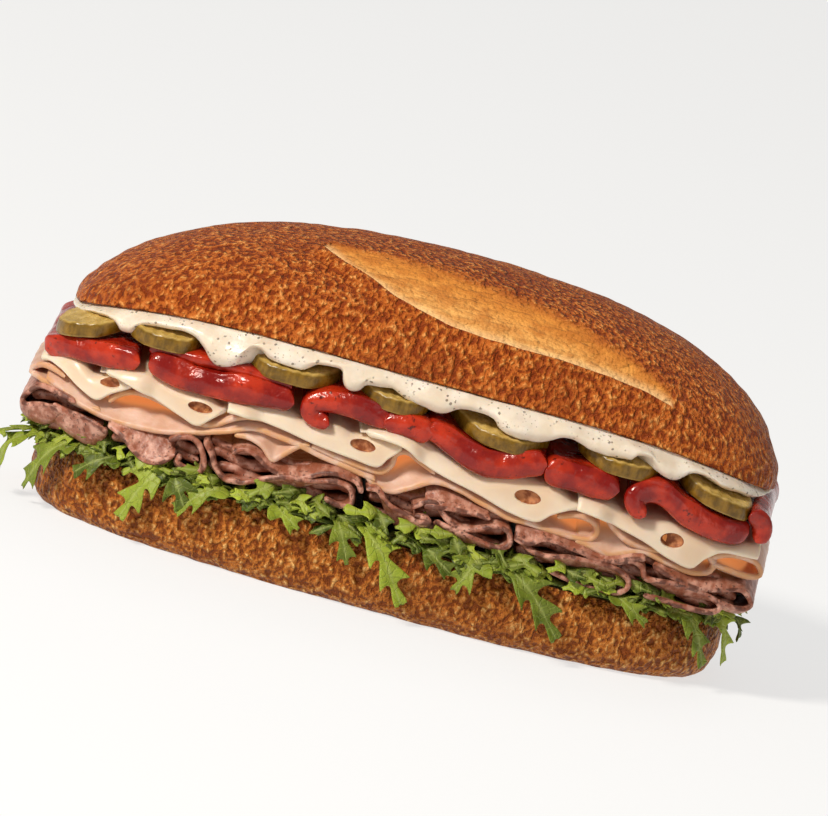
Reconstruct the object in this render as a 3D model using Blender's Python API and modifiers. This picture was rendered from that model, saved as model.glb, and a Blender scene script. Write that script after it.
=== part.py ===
"""A long crusty roll filled with salad leaves, sliced beef, sliced turkey, holed cheese,
roasted red pepper, pickle chips and a thick dressing.

The roll lies on the flat underside of its lower half. X runs along the roll, -Y is the
side that faces the viewer and Z is up. Sizes below are in millimetres.

Every filling is first laid out in a flat stack, where a height is the height that it has
at the front edge of the middle of the roll. The function settle then bends the whole
stack at once: it crowns over the middle of the roll and sags towards the two ends.
"""

import math

import bmesh
import bpy
from mathutils import Matrix, Vector

MM = 0.001
NAME = "filled_roll"

# The roll
ROLL_LENGTH = 200.0
ROLL_WIDTH = 86.0
ROLL_PLAN_POWER = 2.6
LOWER_HEIGHT = 20.8
LOWER_ROUNDING = 5.3
LOWER_VIRTUAL_DEPTH = 24.0
UPPER_EDGE_HEIGHT = 67.5
UPPER_RISE = 27.4
UPPER_RISE_POWER_LEFT = 1.75
UPPER_RISE_POWER_RIGHT = 2.3
UPPER_SECTION_POWER = 2.15
UPPER_END_DROOP = 11.0
UPPER_END_DROOP_POWER = 4.0
UPPER_CUT_EASE = 3.0
UPPER_SEGMENTS = 40
UPPER_RINGS = 12
LOWER_SEGMENTS = 40
LOWER_RINGS = 12
LEAST_DEPTH = 0.01
RIM_REACH = 0.995
EQUATOR = 1e-4
LOWER_CENTRE_X = -1.5
LOWER_LENGTH = 198.0

# The stack of fillings
FILL_HALF_LENGTH = 110.0
FILL_HALF_DEPTH = 43.0
FILL_PLAN_POWER = 2.7
FILL_CROWN = 5.0
CROWN_POWER = 3.0
CROWN_STARTS = 21.0
CROWN_FULL = 42.0
END_SAG_SLOPE = 0.2126
SWAY = 2.5
GAP = 0.35

BEEF_THICKNESS = 1.3
BEEF_OVERHANG = 0.6
TURKEY_THICKNESS = 1.4
TURKEY_OVERHANG = -3.2
CHEESE_THICKNESS = 2.2
PICKLE_THICKNESS = 4.3
STATIONS = (-1.0, -0.72, 0.0, 0.72, 1.0)
BEEF_STEP = 4.7
TURKEY_STEP = 5.3
SHEET_CLAMP = 1.6
CURVE_STEP = 1.0
SHARP_ANGLE = 50.0

# The baker's slash runs aslant over the crust: the angle up the front of the section at
# which its front and back edges lie, read along the roll as (x, degrees)
SLASH_FRONT = [(-44, 78), (-30, 60), (-15, 42), (0, 34), (20, 31), (45, 33), (62, 31), (76, 26)]
SLASH_BACK = [(-44, 80), (-30, 85), (-10, 84), (10, 78), (30, 71), (50, 60), (66, 44), (76, 30)]
SLASH_DEPTH = 1.3
SLASH_BOWL_POWER = 0.5
SLASH_BACK_LIMIT = 20.0
LIP_HEIGHT = 1.1
LIP_WIDTH = 7.0

# Beef: thin slices in tight curls and folds, read along each slice as (x, height)
BEEF_FOLDS = {
    "beef_1": [
        (-91, 35.0), (-97, 35.9), (-102.5, 36.2), (-106, 33), (-105, 28.8), (-100.5, 27),
        (-96, 29), (-95, 32),
    ],
    "beef_2": [
        (-92, 32.5), (-91, 28.5), (-88, 25.6), (-83.8, 25.2), (-81.6, 27.6), (-83.4, 30.2),
    ],
    "beef_3": [
        (-80, 30.8), (-76.5, 30), (-73, 27.2), (-68.7, 25.2), (-64.2, 25.8), (-61.8, 28.2),
    ],
    "beef_4": [
        (-63.5, 32.2), (-59.3, 33.4), (-55.4, 32), (-52.8, 29), (-53, 26.2), (-56, 24.6),
        (-59.2, 26.2), (-58.8, 28.8),
    ],
    "beef_5": [
        (-52, 33.6), (-50.2, 30.5), (-48.4, 27), (-45.4, 25.2), (-42.8, 27.6), (-42.2, 31),
        (-39.2, 31.6), (-35.5, 28.8), (-31, 27.6), (-26, 28.6), (-21.5, 31.6), (-16.6, 33),
        (-12.8, 31.6), (-12, 28.4), (-15, 26.2), (-18.6, 27.4),
    ],
    "beef_6": [
        (-41, 34.4), (-36.5, 32.5), (-31, 31.1), (-26, 31.7), (-21.5, 34.1), (-16.5, 35.4),
        (-11.5, 34.4), (-9.2, 31.2),
    ],
    "beef_7": [
        (-7.4, 31.9), (-4.4, 31), (-1.2, 28.6), (2.4, 25.6), (6.8, 25), (10.2, 27),
        (9.6, 29.6), (5.6, 30.2),
    ],
    "beef_8": [
        (1.5, 33.4), (6.5, 34), (11, 32.4), (15, 30.4), (19.5, 30.6), (24, 31.8), (28.5, 33.2),
        (32.2, 32), (32.8, 28.8), (29.4, 26.6), (24.2, 26.2), (19, 26.8),
    ],
    "beef_9": [(11, 35), (16, 34), (21, 34.1), (26.5, 34.7)],
    "beef_10": [(34.2, 33.9), (38.5, 33), (44, 33), (50, 32.2), (56, 31.2), (61.5, 30.2)],
    "beef_11": [
        (37, 31), (40.6, 28.8), (46, 27.8), (53, 28), (60, 28.6), (66, 28.4), (68.6, 26.4),
        (66, 24.4), (60, 24), (53, 24.4), (47, 25),
    ],
    "beef_12": [
        (64.5, 32.6), (68.5, 33.2), (71.2, 31.8), (73, 29.6), (79, 29.4), (86, 30), (92, 29.6),
        (94, 27.4), (91, 25), (85, 24.6), (78.5, 25.2), (73, 25.8),
    ],
    "beef_13": [
        (74.5, 33.6), (81, 32.6), (88, 32.4), (95, 33.4), (100, 33), (101.8, 30.4),
        (100, 27.4), (97, 26),
    ],
}

# Turkey: pale slices laid in broad waves and loose loops over the beef
TURKEY_FOLDS = {
    "turkey_1": [
        (-83.5, 34.4), (-90, 36.4), (-97, 38.2), (-103, 38.8), (-106, 40.4), (-103.6, 42.3),
        (-99.4, 42.3), (-95.6, 40.9),
    ],
    "turkey_2": [
        (-82, 37.4), (-79, 40.2), (-74.4, 41.8), (-69, 41.2), (-62.5, 39.4), (-56, 38),
        (-52, 39), (-48, 40.8), (-44.2, 43.2), (-38.6, 43.8), (-32, 43),
    ],
    "turkey_3": [
        (-79, 34.2), (-71, 34.8), (-63, 35.4), (-55, 35.8), (-48, 37.8), (-42, 40.6),
        (-35.4, 41), (-28, 39.6), (-20, 38.2), (-13.2, 37.2), (-6.4, 36),
    ],
    "turkey_4": [(-47, 35.2), (-42.6, 37), (-38.4, 37.6), (-34.6, 35.8), (-33.6, 34)],
    "turkey_5": [
        (-25.5, 41.8), (-17, 40.2), (-10, 39), (-4.6, 38.6), (-3, 41), (-2.6, 44.2),
        (0.4, 45.6), (4.4, 44), (9, 42),
    ],
    "turkey_6": [
        (-5.4, 33.6), (-1, 34.8), (3.5, 37.2), (10, 38.6), (17, 38.2), (24, 37.4), (31, 36.2),
        (38, 35.8), (44, 35.6), (50, 35), (54.8, 35.8), (56.2, 38.4), (54, 40.8), (49.4, 41),
        (44.4, 39.4),
    ],
    "turkey_7": [
        (54, 33.6), (57.5, 33.9), (61, 34.2), (65.5, 35.6), (71, 36.4), (77.5, 35.6),
        (84, 34.8), (88.4, 35.2), (89.2, 38), (86.4, 40.2),
    ],
    "turkey_8": [(59.4, 42.4), (63.4, 40.4), (69, 38.8), (75, 38.2)],
    "turkey_9": [
        (90.8, 40.6), (95.4, 41.8), (100.4, 41.4), (102.2, 39), (99.6, 36.4), (94.6, 36.2),
    ],
}

# Cheese: the upper surface that the peppers rest on, read along the front as (x, height)
CHEESE_TOP = [
    (-110, 43.5), (-103, 46.3), (-96, 47.4), (-87, 46.4), (-79, 48.3), (-72, 48.4),
    (-66, 47.2), (-59, 46.2), (-50, 47), (-42, 47.9), (-34, 48), (-25, 46.8), (-14, 49.4),
    (-4, 51.6), (4, 50), (12, 47.4), (20, 45.6), (30, 47.2), (44, 47.6), (57, 47.4),
    (66, 45.2), (74, 46.4), (82, 45.2), (92, 44.6), (98, 47), (106, 46),
]
# Each slice: its hem along the front as (x, height), which ends in a hanging corner, and
# the place and half widths of the round hole that shows near the corner
CHEESE_SLICES = {
    "cheese_1": (
        [
            (-103.6, 44.1), (-101, 44.4), (-97, 43), (-90.5, 39.2), (-85.4, 37.4), (-82, 40),
            (-77, 43),
        ],
        (-83.6, 43.6, 3.3, 1.6),
    ),
    "cheese_2": (
        [
            (-86.5, 46), (-80, 45), (-70, 42), (-62, 39.2), (-57, 37.8), (-53.5, 40.8),
            (-50.5, 43), (-47.4, 44.2),
        ],
        (-57.6, 43.4, 3.5, 1.5),
    ),
    "cheese_3": (
        [
            (-50.5, 44.4), (-44, 44.2), (-34, 43), (-24, 41.4), (-14, 40.4), (-7, 40),
            (-4.6, 43), (-1.5, 46.4),
        ],
        (-12.4, 45.2, 3.6, 1.7),
    ),
    "cheese_4": (
        [
            (-14, 48.8), (-7, 48.6), (-1, 47.8), (4.5, 44.6), (12, 42.2), (22, 40), (31, 37.6),
            (38.8, 37), (42.6, 40), (47, 42.4), (53, 43.8),
        ],
        (34.8, 43.6, 3.7, 2.0),
    ),
    "cheese_5": (
        [
            (48.5, 44), (55, 43.4), (62, 41.4), (70, 39.4), (77, 37), (83.4, 36), (86.4, 39.4),
            (90, 42), (95, 43), (100.6, 43.4),
        ],
        (76.6, 42.6, 3.3, 2.1),
    ),
}
CHEESE_BEND = 2.4
CHEESE_STEP = 6.0
CHEESE_LEAST_COLUMNS = 7
CHEESE_TOP_STATIONS = (-0.25, 0.0, 0.25, 0.5, 0.75, 1.0)
HOLE_SEGMENTS = 14
HOLE_CUTTER_DEPTH = 16.0
CHEESE_INSET = 1.0
CHEESE_LAP = 2.7
CHEESE_LAP_RAMP = 6.0
CHEESE_LAP_MARGIN = 1.0
CHEESE_BACK_DROP = 4.0
HEM_STATIONS = (0.0, 0.35, 0.68, 1.0)

# Peppers: thick soft strips, some folded over, read along each strip as (x, height)
PEPPER_STRIPS = {
    "pepper_1": ([(-105.6, 48.6), (-103, 50.6), (-97, 50.8), (-88, 50.2), (-79.5, 51.4)], 4.6),
    "pepper_2": ([(-73.2, 52.4), (-67, 51.3), (-59, 50.3), (-48, 51.3), (-36.4, 52)], 6.6),
    "pepper_3": (
        [(-25.8, 49.6), (-29.4, 51.8), (-26, 54), (-19.5, 54), (-14, 53.8), (-9.6, 54.2)],
        3.2,
    ),
    "pepper_4": ([(-6.4, 54.2), (-2, 54.5), (1.6, 53.2)], 2.8),
    "pepper_5": (
        [(5.4, 52.8), (9.4, 51.6), (14, 50), (20, 48.4), (27, 49.4), (33, 51), (36, 51.8)],
        3.6,
    ),
    "pepper_6": ([(40.8, 52.3), (47, 51.8), (55.4, 52.1)], 6.6),
    "pepper_7": (
        [
            (63.6, 47.8), (62.4, 50.4), (66, 52.4), (71.6, 52), (78.5, 49.8), (86, 48.2),
            (93.4, 47.8),
        ],
        3.6,
    ),
    "pepper_8": ([(97.4, 54), (99.8, 52.2), (100.4, 49.6)], 2.6),
}
PEPPER_OVERHANG = 2.0
PEPPER_STEP = 4.0

# Pickles: chips cut across the cucumber, as (middle x, radius, height, rise along x)
PICKLE_CHIPS = [
    (-92.0, 10.0, 56.4, 0.12),
    (-70.6, 10.6, 58.4, 0.0),
    (-35.5, 14.0, 58.5, 0.0),
    (-6.4, 10.8, 58.7, 0.0),
    (24.2, 14.4, 56.4, -0.02),
    (57.0, 12.0, 58.3, 0.0),
    (84.6, 10.9, 56.5, -0.12),
]
PICKLE_OVERHANG = 1.6
BACK_CHIP_SCALE = 0.92
CHIP_SEGMENTS = 18
CHIP_OVAL = 0.02
CHIP_RIPPLE = 0.012
CHIP_RIPPLES = 9

# Dressing: its lower surface along the roll as (x, height), and the places where it runs
# down between the chips, as (x, half width, drop, forward)
DRESSING_UNDERSIDE = [
    (-104, 57.6), (-95, 58.8), (-88, 59.8), (-82, 61.2), (-30, 61.3), (0, 61.6), (5, 61.6),
    (9, 60.6), (14, 59.2), (34, 59), (40, 60.2), (44, 61.3), (70, 61.5), (74, 60.4),
    (84, 59.4), (95, 58), (104, 57),
]
DRESSING_RUNS = [(-54.6, 3.0, 5.4, 2.4)]
DRESSING_SEGMENTS = 76
DRESSING_RINGS = 10
DRESSING_INSET_X = 0.8
DRESSING_INSET_Y = 0.6
DRESSING_BRIM = 0.9
DRESSING_BRIM_WIDTH = 0.06
DRESSING_RING_POWER = 0.7
DRESSING_OVERHANG = 1.2
DRESSING_LEAST = 0.8
DRESSING_CLEARANCE = 0.8

# Salad leaves that hang out of the heap: where each crosses the rim of the lower half as
# x and side, then how far its tip lies along the rim, out from it and below it, and the
# leaf's greatest width
LEAF_SHAPES = [
    (-98.6, -1, 4, 12, 2, 7),
    (-97, -1, -3, 11, 12, 8),
    (-90, -1, -9, 5, 15, 9),
    (-78, -1, -8, 4.5, 6, 8),
    (-64, -1, -7, 4, 14, 8),
    (-59, -1, 5, 4.5, 6, 9),
    (-48, -1, -9, 4, 8, 8),
    (-30, -1, 7, 4.5, 3, 8),
    (-13, -1, 5, 4.5, 9, 7),
    (-5, -1, 14, 4, 16, 9),
    (12, -1, 8, 4.5, 4, 8),
    (26, -1, -4, 4, 8, 9),
    (36, -1, 16, 5, 14, 10),
    (66, -1, 8, 4.5, 4, 7),
    (84, -1, 9, 4, 13, 8),
    (93, -1, 5, 4, 12, 7),
    (96.4, -1, 1, 5, 5, 7),
    (-80, 1, 8, 4, 10, 8),
    (-46, 1, -9, 4, 8, 9),
    (-10, 1, 9, 4, 11, 9),
    (30, 1, -8, 4, 7, 8),
    (68, 1, 9, 4, 12, 9),
]
HEAP_FLOOR = 21.15
HEAP_TOP = 22.7
HEAP_INSET = 2.5
LEAF_THICKNESS = 0.7
LEAF_ROOT = 9.0
LEAF_ROWS = 6
LEAF_BEND_OUT = 2.2
LEAF_BEND_UP = 0.2
LEAF_LEAST_HALF_WIDTH = 0.4
LEAF_NOTCH = 0.5
LEAF_CUP = 0.1
HEAP_SEGMENTS = 36
HEAP_RINGS = 6
LEAF_CLEARS_RIM = 1.06


def clear_scene():
    for obj in list(bpy.data.objects):
        bpy.data.objects.remove(obj, do_unlink=True)


def new_collection(name):
    collection = bpy.data.collections.new(name)
    bpy.context.scene.collection.children.link(collection)
    return collection


def new_material(name, colour, roughness, metallic=0.0):
    material = bpy.data.materials.new(name)
    material.use_nodes = True
    shader = material.node_tree.nodes["Principled BSDF"]
    shader.inputs["Base Color"].default_value = (*colour, 1.0)
    shader.inputs["Roughness"].default_value = roughness
    shader.inputs["Metallic"].default_value = metallic
    return material


def new_object(name, bm, material, collection):
    mesh = bpy.data.meshes.new(name)
    bmesh.ops.recalc_face_normals(bm, faces=bm.faces)
    bmesh.ops.triangulate(bm, faces=bm.faces)
    bm.to_mesh(mesh)
    bm.free()
    mesh.materials.append(material)
    mesh.shade_smooth()
    mesh.set_sharp_from_angle(angle=math.radians(SHARP_ANGLE))
    obj = bpy.data.objects.new(name, mesh)
    collection.objects.link(obj)
    return obj


def smoothstep(value):
    t = min(1.0, max(0.0, value))
    return t * t * (3.0 - 2.0 * t)


def superellipse(value, power):
    return max(0.0, 1.0 - min(1.0, abs(value)) ** power) ** (1.0 / power)


def fill_depth(x):
    """Half the depth of the stack of fillings at a place along the roll."""
    return FILL_HALF_DEPTH * superellipse(x / FILL_HALF_LENGTH, FILL_PLAN_POWER)


def end_sag(x):
    return (FILL_HALF_DEPTH - fill_depth(x)) * END_SAG_SLOPE


def crown(x, y):
    """How much higher the stack stands at a place than at its edge."""
    along = abs(x / FILL_HALF_LENGTH) ** FILL_PLAN_POWER
    deep = abs(y / FILL_HALF_DEPTH) ** FILL_PLAN_POWER
    reach = min(1.0, (along + deep) ** (1.0 / FILL_PLAN_POWER))
    return FILL_CROWN * (1.0 - reach ** CROWN_POWER)


def settle(x, y, z):
    """Bend a point of the flat stack to where it lies in the filled roll, in metres."""
    share = smoothstep((z - CROWN_STARTS) / (CROWN_FULL - CROWN_STARTS))
    height = z + crown(x, y) * share - end_sag(x)
    inward = 1.0 - min(1.0, abs(x) / FILL_HALF_LENGTH) ** 2
    along = x + SWAY * inward * math.sin(math.pi * y / FILL_HALF_DEPTH)
    return Vector((along, y, height)) * MM


def curve_through(points, step):
    """Points about one step apart along a smooth line through the given points."""
    ends = [tuple(2 * a - b for a, b in zip(points[0], points[1]))]
    tail = [tuple(2 * a - b for a, b in zip(points[-1], points[-2]))]
    knots = ends + list(points) + tail
    line = []
    for p0, p1, p2, p3 in zip(knots, knots[1:], knots[2:], knots[3:]):
        count = max(1, round(math.dist(p1, p2) / step))
        for k in range(count):
            t = k / count
            line.append(
                tuple(
                    0.5 * (2 * b + (c - a) * t + (2 * a - 5 * b + 4 * c - d) * t * t
                           + (3 * b - a - 3 * c + d) * t ** 3)
                    for a, b, c, d in zip(p0, p1, p2, p3)
                )
            )
    line.append(tuple(points[-1]))
    return line


def height_on(points, x):
    """The height at x of the smooth line through points given as (x, height)."""
    line = curve_through(points, CURVE_STEP)
    if x <= line[0][0]:
        return line[0][1]
    for (x0, z0), (x1, z1) in zip(line, line[1:]):
        if x <= x1:
            return z0 + (z1 - z0) * (x - x0) / (x1 - x0)
    return line[-1][1]


def thicken(obj, thickness):
    """Give an open sheet its thickness, half to each side."""
    shell = obj.modifiers.new("thickness", "SOLIDIFY")
    shell.thickness = thickness * MM
    shell.offset = 0.0
    shell.use_even_offset = True
    shell.thickness_clamp = SHEET_CLAMP


def folded_slice(name, line, thickness, overhang, material, collection, step):
    """A slice laid in folds: its fold line seen from the front, run through the roll."""
    path = curve_through(line, step)
    bm = bmesh.new()
    bmesh.ops.create_grid(bm, x_segments=len(path) - 1, y_segments=len(STATIONS) - 1, size=0.5)
    bm.verts.ensure_lookup_table()
    for vert in bm.verts:
        x, z = path[round((vert.co.x + 0.5) * (len(path) - 1))]
        station = STATIONS[round((vert.co.y + 0.5) * (len(STATIONS) - 1))]
        vert.co = settle(x, station * (fill_depth(x) + overhang), z)
    obj = new_object(name, bm, material, collection)
    thicken(obj, thickness)
    return obj


def round_power(value, power):
    return math.copysign(abs(value) ** (2.0 / power), value)


def roll_depth(x, half_length, centre):
    """Half the depth of a half of the roll, seen from above."""
    return 0.5 * ROLL_WIDTH * superellipse((x - centre) / half_length, ROLL_PLAN_POWER)


def upper_edge(x):
    """Height of the cut edge of the upper half, which droops towards its ends."""
    return UPPER_EDGE_HEIGHT - UPPER_END_DROOP * (2 * abs(x) / ROLL_LENGTH) ** UPPER_END_DROOP_POWER


def upper_rise(x, y):
    """Height of the crust above the cut edge."""
    half = 0.5 * ROLL_LENGTH
    power = UPPER_RISE_POWER_LEFT if x < 0 else UPPER_RISE_POWER_RIGHT
    depth = max(roll_depth(x, half, 0.0), LEAST_DEPTH)
    return UPPER_RISE * superellipse(x / half, power) * superellipse(y / depth, UPPER_SECTION_POWER)


def slash_relief(x, y):
    """How far the crust stands out of, or lies below, the plain loaf at a point."""
    if not SLASH_FRONT[0][0] < x < SLASH_FRONT[-1][0] or y > SLASH_BACK_LIMIT:
        return 0.0
    depth = roll_depth(x, 0.5 * ROLL_LENGTH, 0.0)
    angle = math.degrees(math.acos(max(-1.0, min(1.0, -y / depth))))
    front = height_on(SLASH_FRONT, x)
    back = height_on(SLASH_BACK, x)
    if front <= angle <= back:
        across = (angle - front) / max(back - front, 1.0)
        return -SLASH_DEPTH * math.sin(math.pi * across) ** SLASH_BOWL_POWER
    if front - LIP_WIDTH < angle < front:
        return LIP_HEIGHT * (1.0 - (front - angle) / LIP_WIDTH)
    return 0.0


def new_ball(segments, rings):
    bm = bmesh.new()
    bmesh.ops.create_uvsphere(bm, u_segments=segments, v_segments=rings, radius=1.0)
    return bm


def ball_place(co, power):
    """Plan direction, reach from the middle and side of a point of the unit ball."""
    reach = math.hypot(co.x, co.y)
    if reach < 1e-6:
        return 0.0, 0.0, 0.0
    across = round_power(co.x / reach, power)
    deep = round_power(co.y / reach, power)
    return across, deep, min(1.0, reach)


def upper_cut_face(x, y, reach):
    """Height of the face that the upper half was cut at: reach is 1 at its rim."""
    return upper_edge(x) + crown(x, y) * smoothstep((1.0 - reach) * UPPER_CUT_EASE)


def make_upper_half(material, collection):
    bm = new_ball(UPPER_SEGMENTS, UPPER_RINGS)
    for vert in bm.verts:
        top = vert.co.z > -EQUATOR
        across, deep, reach = ball_place(vert.co, ROLL_PLAN_POWER)
        x = 0.5 * ROLL_LENGTH * across * reach
        y = 0.5 * ROLL_WIDTH * deep * reach
        if top:
            z = upper_edge(x) + upper_rise(x, y)
            if reach < RIM_REACH:
                z += slash_relief(x, y)
        else:
            z = upper_cut_face(x, y, reach)
        vert.co = Vector((x, y, z)) * MM
    return new_object("bun_top", bm, material, collection)


def make_lower_half(material, collection):
    half = 0.5 * LOWER_LENGTH
    bm = new_ball(LOWER_SEGMENTS, LOWER_RINGS)
    for vert in bm.verts:
        top = vert.co.z > -EQUATOR
        across, deep, reach = ball_place(vert.co, ROLL_PLAN_POWER)
        x = LOWER_CENTRE_X + half * across * reach
        y = 0.5 * ROLL_WIDTH * deep * reach
        brim = LOWER_HEIGHT - end_sag(x)
        if top:
            z = brim
        else:
            z = max(0.0, brim - LOWER_VIRTUAL_DEPTH * superellipse(reach, LOWER_ROUNDING))
        vert.co = Vector((x, y, z)) * MM
    return new_object("bun_bottom", bm, material, collection)


def cheese_point(x, station, hem, proud, tucked):
    """A point of a cheese slice: station runs from -1, the front hem, to 1, the back hem."""
    inner = fill_depth(x) - CHEESE_INSET + proud
    crest = height_on(CHEESE_TOP, x) - 0.5 * CHEESE_THICKNESS - tucked
    side = -1.0 if station < 0 else 1.0
    low = hem if side < 0 else crest - CHEESE_BACK_DROP
    arc = 0.5 * math.pi * CHEESE_BEND
    straight = max(0.0, crest - CHEESE_BEND - low)
    if straight > 0.0:
        turned = arc
    else:
        turned = CHEESE_BEND * math.acos(max(0.0, min(1.0, 1.0 - (crest - low) / CHEESE_BEND)))
    share = (abs(station) - 0.5) * 2.0
    if share <= 0.0:
        return side * (inner - CHEESE_BEND) * abs(station) * 2.0, crest
    travel = share * (turned + straight)
    angle = min(travel, turned) / CHEESE_BEND
    y = side * (inner - CHEESE_BEND + CHEESE_BEND * math.sin(angle))
    z = crest - CHEESE_BEND + CHEESE_BEND * math.cos(angle) - max(0.0, travel - turned)
    return y, z


def make_cheese(name, neighbours, material, collection, cutters):
    """A slice that lies over the right end of the one before and under the one after."""
    before, (hem, hole), after = neighbours
    first, last = hem[0][0], hem[-1][0]
    columns = max(CHEESE_LEAST_COLUMNS, round((last - first) / CHEESE_STEP))
    stations = [-0.5 - 0.5 * h for h in reversed(HEM_STATIONS)]
    stations.extend(CHEESE_TOP_STATIONS)
    bm = bmesh.new()
    bmesh.ops.create_grid(bm, x_segments=columns, y_segments=len(stations) - 1, size=0.5)
    for vert in bm.verts:
        station = stations[round((vert.co.y + 0.5) * (len(stations) - 1))]
        x = first + (last - first) * (vert.co.x + 0.5)
        proud = tucked = 0.0
        if before:
            past = x - before[0][-1][0] - CHEESE_LAP_MARGIN
            proud = CHEESE_LAP * (1.0 - smoothstep(past / CHEESE_LAP_RAMP))
        if after:
            under = x - after[0][0][0] + CHEESE_LAP_MARGIN
            tucked = CHEESE_LAP * smoothstep(under / CHEESE_LAP_RAMP + 1.0)
        y, z = cheese_point(x, station, height_on(hem, x), proud, tucked)
        vert.co = settle(x, y, z)
    obj = new_object(name, bm, material, collection)
    thicken(obj, CHEESE_THICKNESS)
    x, z, half_width, half_height = hole
    bpy.ops.mesh.primitive_cylinder_add(vertices=HOLE_SEGMENTS, radius=1.0, depth=1.0)
    cutter = bpy.context.active_object
    cutter.name = name + "_hole"
    place = settle(x, -fill_depth(x), z)
    cutter.matrix_world = (
        Matrix.Translation(place)
        @ Matrix.Rotation(math.radians(90), 4, "X")
        @ Matrix.Diagonal((half_width * MM, half_height * MM, HOLE_CUTTER_DEPTH * MM, 1.0))
    )
    cutter.display_type = "WIRE"
    cutter.hide_render = True
    for user in list(cutter.users_collection):
        user.objects.unlink(cutter)
    cutters.objects.link(cutter)
    cut = obj.modifiers.new("hole", "BOOLEAN")
    cut.object = cutter
    cut.operation = "DIFFERENCE"
    cut.solver = "EXACT"
    return obj


def make_chip(name, chip, back, material, collection):
    middle, radius, height, rise = chip
    if back:
        radius *= BACK_CHIP_SCALE
    side = 1.0 if back else -1.0
    centre_y = side * (fill_depth(middle) - radius + PICKLE_OVERHANG)
    bm = bmesh.new()
    bmesh.ops.create_cone(
        bm, cap_ends=True, segments=CHIP_SEGMENTS, radius1=1.0, radius2=1.0, depth=1.0
    )
    bmesh.ops.poke(bm, faces=[face for face in bm.faces if len(face.verts) > 4])
    for vert in bm.verts:
        angle = math.atan2(vert.co.y, vert.co.x)
        uneven = 1.0 + CHIP_OVAL * math.sin(3 * angle + middle)
        uneven += CHIP_RIPPLE * math.sin(CHIP_RIPPLES * angle)
        x = middle + radius * uneven * vert.co.x
        y = centre_y + radius * uneven * vert.co.y
        z = height + rise * (x - middle) + PICKLE_THICKNESS * vert.co.z
        vert.co = settle(x, y, z)
    return new_object(name, bm, material, collection)


def make_dressing(material, collection):
    bm = new_ball(DRESSING_SEGMENTS, DRESSING_RINGS)
    for vert in bm.verts:
        top = vert.co.z > EQUATOR
        across, deep, reach = ball_place(vert.co, ROLL_PLAN_POWER)
        reach = reach ** DRESSING_RING_POWER
        x = (0.5 * ROLL_LENGTH - DRESSING_INSET_X) * across * reach
        low = height_on(DRESSING_UNDERSIDE, x)
        rim = smoothstep((reach - DRESSING_BRIM) / DRESSING_BRIM_WIDTH)
        forward = DRESSING_OVERHANG
        if deep < 0:
            for place, half_width, drop, out in DRESSING_RUNS:
                run = math.exp(-((x - place) / half_width) ** 4)
                low -= drop * run * rim
                forward += out * run * rim
        brim = 0.5 * ROLL_WIDTH - DRESSING_INSET_Y + forward * abs(deep)
        y = brim * deep * reach
        point = settle(x, y, low)
        ceiling = (upper_cut_face(x, y, reach) - DRESSING_CLEARANCE) * MM
        if top:
            point.z = ceiling
        elif reach > RIM_REACH:
            point.z = 0.5 * (ceiling + min(point.z, ceiling - DRESSING_LEAST * MM))
        else:
            point.z = min(point.z, ceiling - DRESSING_LEAST * MM)
        vert.co = point
    return new_object("dressing", bm, material, collection)


def rim_place(x, side):
    """A point of the lower half's rim, and the way out from it, seen from above."""
    half = 0.5 * LOWER_LENGTH
    across = (x - LOWER_CENTRE_X) / half
    y = side * roll_depth(x, half, LOWER_CENTRE_X)
    slope_x = math.copysign(abs(across) ** (ROLL_PLAN_POWER - 1), across) / half
    slope_y = side * abs(2 * y / ROLL_WIDTH) ** (ROLL_PLAN_POWER - 1) * 2 / ROLL_WIDTH
    return Vector((x, y, 0)), Vector((slope_x, slope_y, 0)).normalized()


def lower_reach(x, y):
    """Reach of a point in the plan of the lower half, which is 1 at its rim."""
    across = abs(2 * (x - LOWER_CENTRE_X) / LOWER_LENGTH) ** ROLL_PLAN_POWER
    deep = abs(2 * y / ROLL_WIDTH) ** ROLL_PLAN_POWER
    return (across + deep) ** (1.0 / ROLL_PLAN_POWER)


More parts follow.
